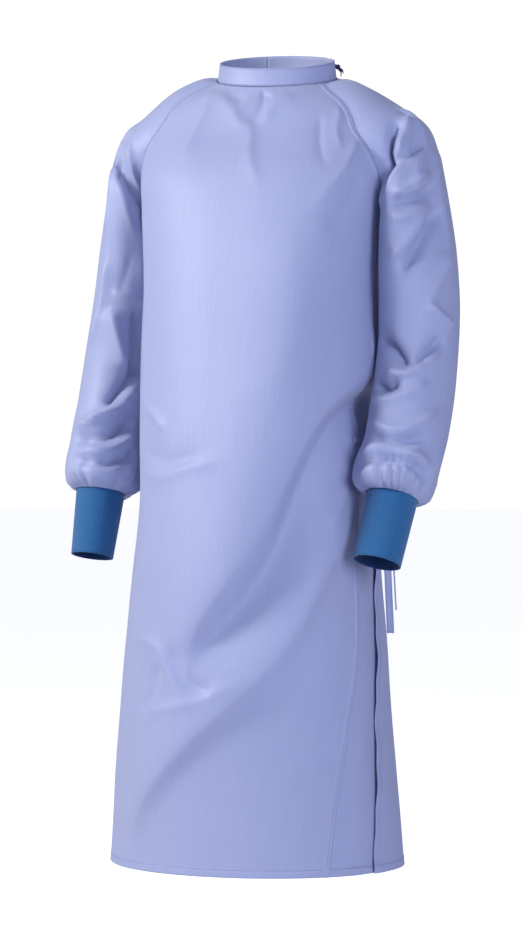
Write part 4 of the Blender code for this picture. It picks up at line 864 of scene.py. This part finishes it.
def woven_cloth():
    """Microfilament polyester weave with a fine lengthwise rib, so it has a soft satin light
    along its folds and faint upright lines."""
    made, tree, shader = new_material("polyester_microfilament_weave")
    where = add(tree, "ShaderNodeUVMap", {"uv_map": "cloth"})
    rib = bands(tree, "X", spread(tree, where, (1.0 / RIB_SPACING, 1.0 / WEFT_SPACING, 1.0)),
                Distortion=0.35, Detail=2.0, Detail_Scale=2.0)
    slub = noise(tree, spread(tree, where, SLUB_SCALE).outputs["Vector"],
                 Scale=1.0, Detail=3.0, Roughness=0.6)
    place = add(tree, "ShaderNodeTexCoord")
    cloud = noise(tree, place.outputs["Object"], Scale=CLOUD_SCALE, Detail=3.0, Roughness=0.5)
    tone = two_tones(tree, CLOTH_SHADE, CLOTH_LIGHT, slub)
    lined = darkened(tree, RIB_TINT, tone, rib)
    clouded = add(tree, "ShaderNodeHueSaturation", values={"Hue": 0.5, "Saturation": 1.0},
                  Color=lined.outputs["Result"])
    value = add(tree, "ShaderNodeMapRange", values={"To Min": CLOUD_DARK, "To Max": CLOUD_BRIGHT},
                Value=cloud.outputs["Fac"])
    tree.links.new(value.outputs["Result"], clouded.inputs["Value"])
    weave_bump = bumped(tree, 0.06, WEAVE_DEPTH, rib.outputs["Fac"])
    pucker = noise(tree, spread(tree, where, PUCKER_SCALE).outputs["Vector"],
                   Scale=1.0, Detail=2.0, Roughness=0.5)
    near = add(tree, "ShaderNodeAttribute", {"attribute_name": "near_seam"})
    ruck = add(tree, "ShaderNodeMath", {"operation": "MULTIPLY"},
               _0=pucker.outputs["Fac"], _1=near.outputs["Fac"])
    bump = bumped(tree, 0.8, PUCKER_DEPTH, ruck.outputs["Value"],
                  Normal=weave_bump.outputs["Normal"])
    finished(tree, shader, clouded.outputs["Color"], bump, Roughness=0.52,
             Specular_IOR_Level=0.35, Sheen_Weight=0.25, Sheen_Roughness=0.45)
    return made


def knit(name, dark, light):
    """Cotton-rich rib knit dyed in the piece: matt, with fine upright ribs and a fleck. Given the darker
    colours, it makes the inside of the cuffs, whose darkness is painted shade.
    """
    made, tree, shader = new_material(name)
    where = add(tree, "ShaderNodeUVMap", {"uv_map": "cloth"})
    scaled = spread(tree, where, (1.0 / KNIT_RIB, 1.0 / KNIT_COURSE, 1.0))
    rib = bands(tree, "X", scaled, Distortion=0.6, Detail=1.0)
    course = bands(tree, "Y", scaled, Distortion=0.8, Detail=1.0)
    fleck = noise(tree, spread(tree, where, FLECK_SCALE).outputs["Vector"],
                  Scale=1.0, Detail=2.0, Roughness=0.7)
    ribbed = darkened(tree, KNIT_TINT, two_tones(tree, dark, light, fleck), rib)
    both = add(tree, "ShaderNodeMath", {"operation": "MULTIPLY_ADD"}, {2: 0.0},
               _0=rib.outputs["Fac"], _1=course.outputs["Fac"])
    bump = bumped(tree, 0.7, KNIT_DEPTH, both.outputs["Value"])
    finished(tree, shader, ribbed.outputs["Result"], bump, Roughness=0.85,
             Specular_IOR_Level=0.2, Sheen_Weight=0.3)
    return made


def tape_weave():
    """Navy woven polyester tape: matt, with a fine twill."""
    made, tree, shader = new_material("polyester_woven_tape")
    place = add(tree, "ShaderNodeTexCoord")
    twill = noise(tree, place.outputs["Object"], Scale=TWILL_SCALE, Detail=2.0)
    tone = two_tones(tree, TAPE_SHADE, TAPE_LIGHT, twill)
    bump = bumped(tree, 0.5, TWILL_DEPTH, twill.outputs["Fac"])
    finished(tree, shader, tone.outputs["Result"], bump, Roughness=0.75)
    return made


def thread():
    """Spun polyester sewing thread, a little darker than the cloth."""
    made, tree, shader = new_material("spun_polyester_thread")
    place = add(tree, "ShaderNodeTexCoord")
    twist = noise(tree, place.outputs["Object"], Scale=TWIST_SCALE, Detail=1.0)
    tone = two_tones(tree, THREAD_SHADE, THREAD_LIGHT, twist)
    finished(tree, shader, tone.outputs["Result"], Roughness=0.6)
    return made


def grid_mesh(name, points, distances, near_seam, closed_from=None):
    """A mesh of four-sided faces through a grid of points, with its UV map in metres of cloth."""
    rows, columns = points.shape[:2]
    corner = np.arange(rows * columns).reshape(rows, columns)
    welded = corner.copy()
    if closed_from is not None:
        welded[closed_from:, -1] = welded[closed_from:, 0]

    def squares(index):
        corners = [index[:-1, :-1], index[1:, :-1], index[1:, 1:], index[:-1, 1:]]
        return np.stack(corners, axis=-1).reshape(-1, 4)

    used, faces = np.unique(squares(welded), return_inverse=True)
    faces = faces.reshape(-1, 4)
    data = bpy.data.meshes.new(name)
    data.from_pydata(points.reshape(-1, 3)[used].tolist(), [], faces.tolist())
    layer = data.uv_layers.new(name="cloth")
    flat = distances.reshape(-1, 2)[squares(corner).reshape(-1)]
    layer.data.foreach_set("uv", flat.astype(np.float32).ravel())
    near = data.attributes.new("near_seam", "FLOAT", "POINT")
    near.data.foreach_set("value", near_seam.reshape(-1)[used].astype(np.float32))
    data.shade_smooth()
    return data


def cloth_distances(points):
    """Metres across and down the cloth at each point of a grid."""
    across = np.linalg.norm(np.diff(points, axis=1), axis=-1).mean(axis=0)
    down = np.linalg.norm(np.diff(points, axis=0), axis=-1).mean(axis=1)
    u = np.concatenate([[0.0], np.cumsum(across)])
    v = np.concatenate([[0.0], np.cumsum(down)])
    grid = np.stack(np.meshgrid(u - u.mean(), -v), axis=-1)
    return grid


def shell(name, points, wall, finish, closed_from=None, seams=(), offset=-1.0):
    """A cloth shell: an open sheet with its wall on the inner side. Seams names the sewn edges."""
    distances = cloth_distances(points)
    near = np.zeros(points.shape[:2])
    u, v = distances[..., 0], -distances[..., 1]
    for edge in seams:
        gap = {"left": u - u.min(), "right": u.max() - u, "top": v, "bottom": v.max() - v}[edge]
        near = np.maximum(near, np.exp(-(gap / PUCKER_REACH) ** 2))
    data = grid_mesh(name, points, distances, near, closed_from)
    piece = bpy.data.objects.new(name, data)
    bpy.context.scene.collection.objects.link(piece)
    data.materials.append(finish)
    thickness = piece.modifiers.new("wall", "SOLIDIFY")
    thickness.thickness = wall
    thickness.offset = offset
    thickness.use_even_offset = False
    return piece


def wear(piece, nodes):
    """Let a piece ride with the gown in place of its solids."""
    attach(piece, "root")
    if nodes:
        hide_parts(*nodes)


def panel_rows():
    """Drops of the rows of points, from the neck to the hem."""
    upper = read(SEAM, "drop", np.linspace(0.0, 1.0, UPPER_COUNT + 1))
    last = HEM_DROP - HEM_ROWS[0]
    count = int(round((last - upper[-1]) / FINE_ROW))
    hem = [HEM_DROP - above for above in HEM_ROWS[1:]]
    return np.concatenate([upper, np.linspace(upper[-1], last, count + 1)[1:], hem])


def seam_turns(drop):
    """Turns of the front and back edges of the panels at each row, on the wearer's left and right."""
    along = np.ones(len(drop))
    along[:UPPER_COUNT + 1] = np.linspace(0.0, 1.0, UPPER_COUNT + 1)
    lower = drop > SEAM["drop"][-1] + 1e-9
    left_side = read(SIDE, "left", drop)
    right_side = read(SIDE, "right", drop)
    front_left = np.where(lower, left_side, read(SEAM, "front_turn", along))
    back_left = np.where(lower, left_side, read(SEAM, "back_turn", along))
    front_right = np.where(lower, right_side, 180.0 - read(SEAM, "front_turn", along))
    back_right = np.where(lower, right_side, 180.0 - read(SEAM, "back_turn", along))
    return front_left, back_left, front_right, back_right


def pace_at(turn, drop):
    """Metres of cloth in a degree of turn."""
    step = body_base(turn + TURN_STEP, drop, 0.0) - body_base(turn, drop, 0.0)
    return np.linalg.norm(step, axis=-1) / TURN_STEP


def fan(start, end, columns, drop):
    """Turns across a panel, one row for each drop, with close columns along both edges."""
    near = np.concatenate([[0.0], FELL_COLUMNS])
    left = start[:, None] + near / pace_at(start, drop)[:, None]
    right = end[:, None] - near[::-1] / pace_at(end, drop)[:, None]
    share = np.linspace(0.0, 1.0, columns - 2 * len(near) + 3)[1:-1]
    middle = left[:, -1:] + (right[:, :1] - left[:, -1:]) * share[None, :]
    return np.concatenate([left, middle, right], axis=1)


def fell(gap):
    """How far a laid seam stands out at a distance from its edge."""
    return FELL_RISE * (1.0 - ease((gap - FELL_WIDTH) / FELL_EDGE))


def hem_lift(drop):
    """How far the turned hem stands out."""
    return HEM_RISE * ease((drop - (HEM_DROP - HEM_DEPTH - HEM_STEP_START)) / HEM_STEP)


def trimmed(points, top=0.0, left=0.0, right=0.0):
    """Draw the edges of a grid back by small seam allowances."""
    points = points.copy()
    for edge, inner, allowance in ((points[0], points[1], top), (points[:, 0], points[:, 1], left),
                                   (points[:, -1], points[:, -2], right)):
        step = inner - edge
        edge += step / np.maximum(np.linalg.norm(step, axis=-1, keepdims=True), 1e-9) * allowance
    return points


def under_inset(turn, drop):
    """How far the under layer lies inside the over layer."""
    edge = read(EDGE, "turn", drop)
    return LAYER_STEP * ease((turn - (edge - LAYER_RAMP - LAYER_SPARE)) / LAYER_RAMP)


def over_lift(turn, drop):
    """How far the over layer stands off towards its front edge."""
    edge = read(EDGE, "turn", drop)
    near = 1.0 - ease((turn - edge) / EDGE_LIFT_TURN)
    wave = EDGE_WAVE * np.sin(2.0 * math.pi * drop / EDGE_WAVE_LENGTH)
    phase = 2.0 * math.pi * drop / (EDGE_WAVE_LENGTH * EDGE_RIPPLE_LENGTH) + EDGE_RIPPLE_START
    wave = wave + EDGE_WAVE * EDGE_RIPPLE * np.sin(phase)
    return (EDGE_LIFT + wave) * near * ease((drop - EDGE_LIFT_START) / EDGE_LIFT_RISE)


def make_panels(cloth):
    """The front and the two layers of the back. The front is laid over its four seams, and each
    back panel over its raglan seam, so the cloth below runs on under the laid edge."""
    drop = panel_rows()
    down = drop[:, None]
    front_left, back_left, front_right, back_right = seam_turns(drop)
    raglan = (down < SEAM["drop"][-1] + 1e-6) * 1.0
    start, end = front_right - 360.0, front_left
    turn = fan(start, end, FRONT_COLUMNS, drop)
    laid = fell((turn - start[:, None]) * pace_at(start, drop)[:, None])
    laid = laid + fell((end[:, None] - turn) * pace_at(end, drop)[:, None])
    points = trimmed(body(turn, down, lift=laid + hem_lift(down)), SEAM_GAP)
    front = shell("front", points, WALL, cloth, seams=("left", "right", "top", "bottom"))
    wear(front, ["front_panel"])
    start, end = back_left, np.full(len(drop), UNDER_LAYER_END)
    turn = fan(start, end, LEFT_BACK_COLUMNS, drop)
    laid = fell((turn - start[:, None]) * pace_at(start, drop)[:, None]) * raglan
    points = body(turn, down, under_inset(turn, down), laid + hem_lift(down))
    points = trimmed(points, SEAM_GAP, -SEAM_UNDERLAP * (1.0 - raglan))
    under = shell("left_back", points, WALL, cloth, seams=("left", "top", "bottom"))
    wear(under, ["left_back_panel"])
    start, end = read(EDGE, "turn", drop), back_right
    turn = fan(start, end, RIGHT_BACK_COLUMNS, drop)
    laid = fell((end[:, None] - turn) * pace_at(end, drop)[:, None]) * raglan
    points = body(turn, down, lift=over_lift(turn, down) + laid + hem_lift(down))
    points = trimmed(points, SEAM_GAP, 0.0, -SEAM_UNDERLAP * (1.0 - raglan))
    over = shell("right_back", points, WALL, cloth, seams=("left", "right", "top", "bottom"))
    wear(over, ["right_back_panel"])


def seam_lines():
    """Lines of sewing: along the laid seams, the hem, the free edge and the band."""
    drop = panel_rows()
    front_left, back_left, front_right, back_right = seam_turns(drop)
    lines = []
    rise = FELL_RISE - STITCH_SINK
    for edge, side, low in ((front_right - 360.0, 1.0, HEM_DROP), (front_left, -1.0, HEM_DROP),
                            (back_left, 1.0, SEAM["drop"][-1]), (back_right, -1.0, SEAM["drop"][-1])):
        kept = drop <= low
        for gap in SEAM_STITCHES:
            turn = edge[kept] + side * gap / pace_at(edge, drop)[kept]
            lines.append(body(turn, drop[kept], lift=rise))
    low = HEM_DROP - HEM_DEPTH + HEM_SEWING_IN
    lift = HEM_RISE - STITCH_SINK
    turn = np.linspace(front_right[-1] - 360.0, float(read(EDGE, "turn", low)), HEM_POINTS)
    lines.append(body(turn, low, lift=lift))
    turn = np.linspace(float(read(EDGE, "turn", low)), back_right[-1], HEM_POINTS)
    lines.append(body(turn, low, lift=over_lift(turn, low) + lift))
    edge = read(EDGE, "turn", drop)
    turn = edge + EDGE_TURNING / pace_at(edge, drop)
    lines.append(body(turn, drop, lift=over_lift(turn, drop) - STITCH_SINK))
    start = float(read(EDGE, "turn", 0.0))
    turn = np.linspace(start, start - 360.0, HEM_POINTS)
    for height in BAND_STITCHES:
        lines.append(band(turn, height, lift=-STITCH_SINK))
    return lines


def stitch_group():
    """Geometry nodes that lay even stitches along the edges of a mesh."""
    group = bpy.data.node_groups.new("even_stitches", "GeometryNodeTree")
    group.interface.new_socket("Seam lines", in_out="INPUT", socket_type="NodeSocketGeometry")
    for name in ("Spacing", "Length", "Radius"):
        group.interface.new_socket(name, in_out="INPUT", socket_type="NodeSocketFloat")
    group.interface.new_socket("Thread", in_out="INPUT", socket_type="NodeSocketMaterial")
    group.interface.new_socket("Stitches", in_out="OUTPUT", socket_type="NodeSocketGeometry")
    given = add(group, "NodeGroupInput")
    line = add(group, "GeometryNodeMeshToCurve", Mesh=given.outputs["Seam lines"])
    spots = add(group, "GeometryNodeCurveToPoints", {"mode": "LENGTH"}, Curve=line.outputs["Curve"],
                Length=given.outputs["Spacing"])
    bead = add(group, "GeometryNodeMeshUVSphere", values={"Segments": 6, "Rings": 4, "Radius": 1.0})
    half = add(group, "ShaderNodeMath", {"operation": "MULTIPLY"}, {1: 0.5}, _0=given.outputs["Length"])
    size = add(group, "ShaderNodeCombineXYZ", X=given.outputs["Radius"], Y=given.outputs["Radius"],
               Z=half.outputs["Value"])
    stitch = add(group, "GeometryNodeTransform", Geometry=bead.outputs["Mesh"],
                 Scale=size.outputs["Vector"])
    placed = add(group, "GeometryNodeInstanceOnPoints", Points=spots.outputs["Points"],
                 Instance=stitch.outputs["Geometry"], Rotation=spots.outputs["Rotation"])
    real = add(group, "GeometryNodeRealizeInstances", Geometry=placed.outputs["Instances"])
    dyed = add(group, "GeometryNodeSetMaterial", Geometry=real.outputs["Geometry"],
               Material=given.outputs["Thread"])
    add(group, "NodeGroupOutput", Stitches=dyed.outputs["Geometry"])
    return group


def sew(name, lines, group, finish):
    """Stitches along lines of points, as one plain mesh."""
    data = bpy.data.meshes.new(name + "_lines")
    places = np.concatenate(lines)
    edges = []
    first = 0
    for line in lines:
        edges += [(place, place + 1) for place in range(first, first + len(line) - 1)]
        first += len(line)
    data.from_pydata(places.tolist(), edges, [])
    piece = bpy.data.objects.new(name, data)
    bpy.context.scene.collection.objects.link(piece)
    nodes = piece.modifiers.new("stitches", "NODES")
    nodes.node_group = group
    given = {item.name: item.identifier
             for item in group.interface.items_tree if item.in_out == "INPUT"}
    nodes[given["Spacing"]] = STITCH_SPACING
    nodes[given["Length"]] = STITCH_LENGTH
    nodes[given["Radius"]] = STITCH_RADIUS
    nodes[given["Thread"]] = finish
    placed = bpy.data.meshes.new_from_object(piece.evaluated_get(bpy.context.evaluated_depsgraph_get()))
    piece.modifiers.remove(nodes)
    piece.data = placed
    placed.shade_smooth()
    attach(piece, "root")
    return piece


def make_sleeve(side, cloth):
    """A raglan sleeve, from the neck over the shoulder and down to the cuff."""
    upper = np.linspace(0.0, 1.0, UPPER_COUNT + 1)
    count = int(round((SLEEVE_END - 1.0) / SLEEVE_ROW))
    along = np.concatenate([upper, np.linspace(1.0, SLEEVE_END, count + 1)[1:]])
    around = np.linspace(0.0, 1.0, SLEEVE_COLUMNS_ROUND + 1)
    points = sleeve(side, around[None, :], along[:, None])
    points[:UPPER_COUNT] = trimmed(points[:UPPER_COUNT], SEAM_GAP, -SEAM_UNDERLAP, -SEAM_UNDERLAP)
    if ARMS[side]["sign"] < 0:
        points = points[:, ::-1]
    piece = shell(side + "_sleeve_cloth", points, WALL, cloth, closed_from=UPPER_COUNT,
                  seams=("left", "right"))
    wear(piece, [side + "_sleeve"])


def band(turn, height, inset=0.0, lift=0.0):
    """Points of the neck band, at a height above its seam and lifted straight outwards."""
    turn, height, inset = np.broadcast_arrays(turn, height, inset)
    points = body(turn, 0.0, inset)
    points[..., :2] *= (1.0 - BAND_LEAN * height / BAND_HEIGHT)[..., None]
    points[..., 2] += BAND_GAP + height
    along = body_base(turn + TURN_STEP, 0.0, inset) - body_base(turn - TURN_STEP, 0.0, inset)
    outward = np.stack([along[..., 1], -along[..., 0], np.zeros(turn.shape)], axis=-1)
    return points + outward / np.linalg.norm(outward, axis=-1, keepdims=True) * lift


def make_neck_band(cloth):
    """The stand band, one strip that starts under the wrap and ends on top of it."""
    turn = np.linspace(UNDER_LAYER_END, float(read(EDGE, "turn", 0.0)) - 360.0, BAND_COLUMNS + 1)
    height = np.linspace(0.0, 1.0, BAND_ROWS + 1)
    inset = np.where(turn > 0, under_inset(turn, 0.0), 0.0)
    points = band(turn[None, :], height[:, None] * BAND_HEIGHT, inset[None, :])
    piece = shell("stand_band", points[::-1, ::-1], BAND_WALL, cloth, seams=("top", "bottom"))
    wear(piece, ["neck_band"])


def make_cuff(side, finish, inside):
    """A knitted tube that the gathered sleeve sits on. Its inner faces take a darker knit, painted shade
    inside the tube.
    """
    arm = ARMS[side]
    around = np.linspace(0.0, 1.0, CUFF_COLUMNS + 1)
    top = np.array(arm["cuff_top"])
    end = np.array(arm["cuff_end"])
    axis = (end - top) / np.linalg.norm(end - top)
    ring = wrist_ring(side, around, 0.0) - top
    inward = ring[0] / np.linalg.norm(ring[0])
    across = (ring @ inward)[:, None] * inward
    rows = []
    for share in np.linspace(0.0, 1.0, CUFF_ROWS + 1):
        scale = [1.0 + (after / before - 1.0) * share
                 for before, after in zip(arm["top_radii"], arm["end_radii"])]
        line = top - axis * CUFF_TUCK + (end - top + axis * CUFF_TUCK) * share
        rows.append(line + across * scale[0] + (ring - across) * scale[1])
    points = np.array(rows)
    if arm["sign"] < 0:
        points = points[:, ::-1]
    piece = shell(side + "_cuff_knit", points, CUFF_WALL, finish, closed_from=0)
    # The inner faces take the darker knit: painted shade inside the tube
    piece.data.materials.append(inside)
    piece.modifiers["wall"].material_offset = 1
    wear(piece, [side + "_cuff"])


def strap(name, node, centres, across, width, wall, finish):
    """A flat strap along a smooth line of points, with its width along given directions."""
    across = np.broadcast_to(across, centres.shape)
    keys = np.arange(len(centres), dtype=float)
    at = np.linspace(0.0, keys[-1], TIE_STEPS + 1)
    line = np.stack([curve(keys, centres[:, axis], at) for axis in range(3)], axis=-1)
    side = np.stack([curve(keys, across[:, axis], at) for axis in range(3)], axis=-1)
    side /= np.linalg.norm(side, axis=-1, keepdims=True)
    offsets = np.linspace(-width / 2, width / 2, TIE_ACROSS + 1)
    points = line[:, None] + side[:, None] * offsets[None, :, None]
    piece = shell(name, points, wall, finish, seams=("left", "right"), offset=0.0)
    wear(piece, [node])
    return line, side


def tied_knot(name, node, centre, size, turn, finish):
    """A pulled knot: a rounded lump with slanting wraps and creases between them."""
    up = np.linspace(-math.pi / 2, math.pi / 2, KNOT_ROWS + 1)[:, None]
    round_it = np.linspace(0.0, 2.0 * math.pi, KNOT_COLUMNS + 1)[None, :]
    wrap = np.sin(KNOT_WRAPS * (up + KNOT_SLANT * np.sin(round_it)))
    crease = 1.0 - KNOT_CREASE * np.exp(-(wrap / KNOT_CREASE_WIDTH) ** 2) * np.cos(up)
    out = size[0] * np.cos(up) * np.cos(round_it) * crease
    along = size[1] * np.cos(up) * np.sin(round_it) * crease
    high = size[2] * np.sin(up) * crease
    high, along = np.broadcast_arrays(high, along)
    angle = math.radians(turn)
    x = out * math.cos(angle) - along * math.sin(angle)
    y = out * math.sin(angle) + along * math.cos(angle)
    points = np.stack([x, y, high], axis=-1) + centre
    distances = cloth_distances(points)
    data = grid_mesh(name, points[::-1], distances, np.zeros(points.shape[:2]), closed_from=0)
    piece = bpy.data.objects.new(name, data)
    bpy.context.scene.collection.objects.link(piece)
    data.materials.append(finish)
    wear(piece, [node])


def box_lines(line, side, width):
    """Sewing round the square at the free end of a strap, and down both its edges."""
    lines = []
    half = width / 2 - TIE_INSET
    for sign in (-1.0, 1.0):
        lines.append(line + side * sign * half)
    gone = np.concatenate([[0.0], np.cumsum(np.linalg.norm(np.diff(line, axis=0), axis=-1))])
    for back in (TIE_INSET, TIE_BOX):
        place = gone[-1] - back
        spot = np.array([np.interp(place, gone, line[:, axis]) for axis in range(3)])
        lines.append(np.stack([spot - side[-1] * half, spot, spot + side[-1] * half]))
    return lines


def make_ties(cloth, tape):
    """The waist tie with its straps, knot and hanging ends, and the neck tape with its knot.
    Gives the lines of sewing on the waist tie."""
    half_out, half_round, half_up = (size / 2 for size in KNOT_SIZE)
    knot_lift = TIE_GAP + half_out * KNOT_ROUND
    angle = math.radians(END_FACING)
    outward = np.array([math.cos(angle), math.sin(angle), 0.0])
    forward = np.array([outward[1], -outward[0], 0.0])
    upright = np.array([0.0, 0.0, 1.0])
    middle = body(KNOT_TURN, KNOT_DROP, lift=knot_lift)
    tied_knot("tie_knot", "waist_tie_knot", middle, (half_out, half_round, half_up), KNOT_TURN,
              cloth)
    pace = np.linalg.norm(body(KNOT_TURN + 1.0, KNOT_DROP) - body(KNOT_TURN, KNOT_DROP))
    reach = (half_round * KNOT_ROUND + TIE_GAP) / pace
    sewn = []
    for name, start, stop in (("front", FRONT_STRAP_TURN, KNOT_TURN - reach),
                              ("back", BACK_STRAP_TURN, KNOT_TURN + reach)):
        share = np.linspace(0.0, 1.0, STRAP_PIECES + 1)
        turn = start + (stop - start) * share
        flat = STRAP_CLEAR + (over_lift(turn, KNOT_DROP) if start > stop else 0.0)
        rise = ease((share + STRAP_RISE - 1.0) / STRAP_RISE)
        run = body(turn, KNOT_DROP, lift=flat + (knot_lift - flat) * rise)
        line, side = strap("tie_strap_" + name, "waist_tie_" + name, run, upright, TIE_WIDTH,
                           TIE_WALL, cloth)
        away = (line[0] - middle) * STRAP_SEWING_OUT
        sewn += box_lines(line[::-1] + away, side[::-1], TIE_WIDTH)
    for name, length, place, lean, turn in TIE_ENDS:
        share = np.linspace(0.0, 1.0, END_PIECES + 1)[:, None]
        top = middle - upright * (half_up * KNOT_ROUND + TIE_GAP)
        top = top + outward * place[0] + forward * place[1] + upright * place[2]
        hang = length + (top - middle)[2]
        sway = np.sin(share * math.pi) * forward * END_SWAY
        angle = math.radians(END_FACING + turn)
        facing = np.array([math.cos(angle), math.sin(angle), 0.0])
        centres = top + share * (outward * lean - upright * hang) + sway
        width = TIE_WIDTH * END_FOLD
        line, side = strap(name.replace("waist_tie", "tie"), name, centres, facing, width,
                           TIE_WALL, cloth)
        face = np.cross(side, upright) * TIE_WALL / 2
        sewn += box_lines(line + face, side, width)
        sewn += box_lines(line - face, side, width)
    stop = NECK_KNOT_TURN + NECK_KNOT_REACH
    turn = np.linspace(NECK_TAPE_TURN, stop, STRAP_PIECES + 1)
    share = (turn - NECK_TAPE_TURN) / (stop - NECK_TAPE_TURN)
    seat = NECK_KNOT_SIZE[0] * KNOT_ROUND + TIE_GAP
    lift = TAPE_WALL / 2 + TIE_GAP + (seat - TAPE_WALL) * ease(share)
    run = band(turn, TAPE_HEIGHT, lift=lift[:, None])
    strap("neck_tape", "neck_tie_tape", run, upright, TAPE_WIDTH, TAPE_WALL, tape)
    angle = math.radians(NECK_KNOT_TURN)
    outward = np.array([math.cos(angle), math.sin(angle), 0.0])
    middle = band(NECK_KNOT_TURN, TAPE_HEIGHT, lift=seat)
    tied_knot("neck_knot", "neck_tie_knot", middle, NECK_KNOT_SIZE, NECK_KNOT_TURN, tape)
    for name, tip in NECK_ENDS:
        share = np.linspace(0.0, 1.0, NECK_END_PIECES + 1)[:, None]
        fall = np.array(tip)
        start = middle + fall / np.linalg.norm(fall) * NECK_KNOT_SIZE[2] * NECK_END_SHARE
        droop = outward * NECK_END_DROOP * np.sin(share * math.pi)
        strap(name.replace("neck_tie", "tape"), name, start + fall * share + droop,
              np.cross(outward, fall), TAPE_WIDTH, TAPE_WALL, tape)
    return sewn


def make_studio():
    """A pale floor, soft light from the wearer's right and front, and the camera."""
    scene = bpy.context.scene
    bpy.ops.mesh.primitive_plane_add(size=FLOOR_SIZE, location=(0.0, 0.0, FLOOR_HEIGHT))
    floor = bpy.context.object
    floor.name = "studio_floor"
    made, tree, shader = new_material("painted_studio_floor")
    shader.inputs["Base Color"].default_value = hex_colour(FLOOR_COLOUR)
    shader.inputs["Roughness"].default_value = 0.9
    shader.inputs["Emission Color"].default_value = WHITE
    seen = add(tree, "ShaderNodeLightPath")
    glow = add(tree, "ShaderNodeMath", {"operation": "MULTIPLY"}, {1: FLOOR_GLOW},
               _0=seen.outputs["Is Camera Ray"])
    tree.links.new(glow.outputs["Value"], shader.inputs["Emission Strength"])
    floor.data.materials.append(made)
    world = bpy.data.worlds.new("studio")
    scene.world = world
    world.use_nodes = True
    room = world.node_tree
    output = room.nodes["World Output"]
    direction = add(room, "ShaderNodeTexCoord")
    slope = add(room, "ShaderNodeVectorMath", {"operation": "DOT_PRODUCT"}, {1: WALL_SLOPE},
                _0=direction.outputs["Generated"])
    level = add(room, "ShaderNodeMath", {"operation": "ADD"}, {1: WALL_LIGHT},
                _0=slope.outputs["Value"])
    walls = add(room, "ShaderNodeBackground", Strength=level.outputs["Value"])
    walls.inputs["Color"].default_value = WALL_COLOUR
    backdrop = add(room, "ShaderNodeBackground",
                   values={"Color": WHITE, "Strength": BACKDROP_LIGHT})
    seen = add(room, "ShaderNodeLightPath")
    mixed = add(room, "ShaderNodeMixShader", _0=seen.outputs["Is Camera Ray"],
                _1=walls.outputs["Background"], _2=backdrop.outputs["Background"])
    room.links.new(mixed.outputs["Shader"], output.inputs["Surface"])
    for name, place, aim, size, power, colour in LIGHTS:
        lamp = bpy.data.lights.new(name, "AREA")
        lamp.shape = "RECTANGLE"
        lamp.size, lamp.size_y = size
        lamp.energy = power
        lamp.color = colour
        holder = bpy.data.objects.new(name, lamp)
        scene.collection.objects.link(holder)
        holder.location = place
        holder.rotation_euler = (Vector(aim) - Vector(place)).to_track_quat("-Z", "Y").to_euler()
    lens = bpy.data.cameras.new("camera")
    lens.lens = CAMERA_LENS
    lens.sensor_width = SENSOR_WIDTH
    camera = bpy.data.objects.new("camera", lens)
    scene.collection.objects.link(camera)
    camera.location = CAMERA_PLACE
    camera.rotation_euler = (math.radians(90.0), 0.0, math.radians(CAMERA_TURN))
    scene.camera = camera
    scene.view_settings.view_transform = "Standard"


def main():
    """Dress the solids and light them."""
    make_studio()
    cloth = woven_cloth()
    ribbed = knit("cotton_rib_knit", KNIT_SHADE, KNIT_LIGHT)
    # The darker knit for inside the cuffs is painted shade in the tube
    inner = knit("cotton_rib_knit_painted_shade", KNIT_PAINTED_SHADE_DARKER, KNIT_PAINTED_SHADE_LIGHTER)
    make_panels(cloth)
    make_neck_band(cloth)
    for side in ARMS:
        make_sleeve(side, cloth)
        make_cuff(side, ribbed, inner)
    sewn = make_ties(cloth, tape_weave())
    group = stitch_group()
    finish = thread()
    sew("seam_stitches", seam_lines(), group, finish)
    sew("tie_stitches", sewn, group, finish)


main()
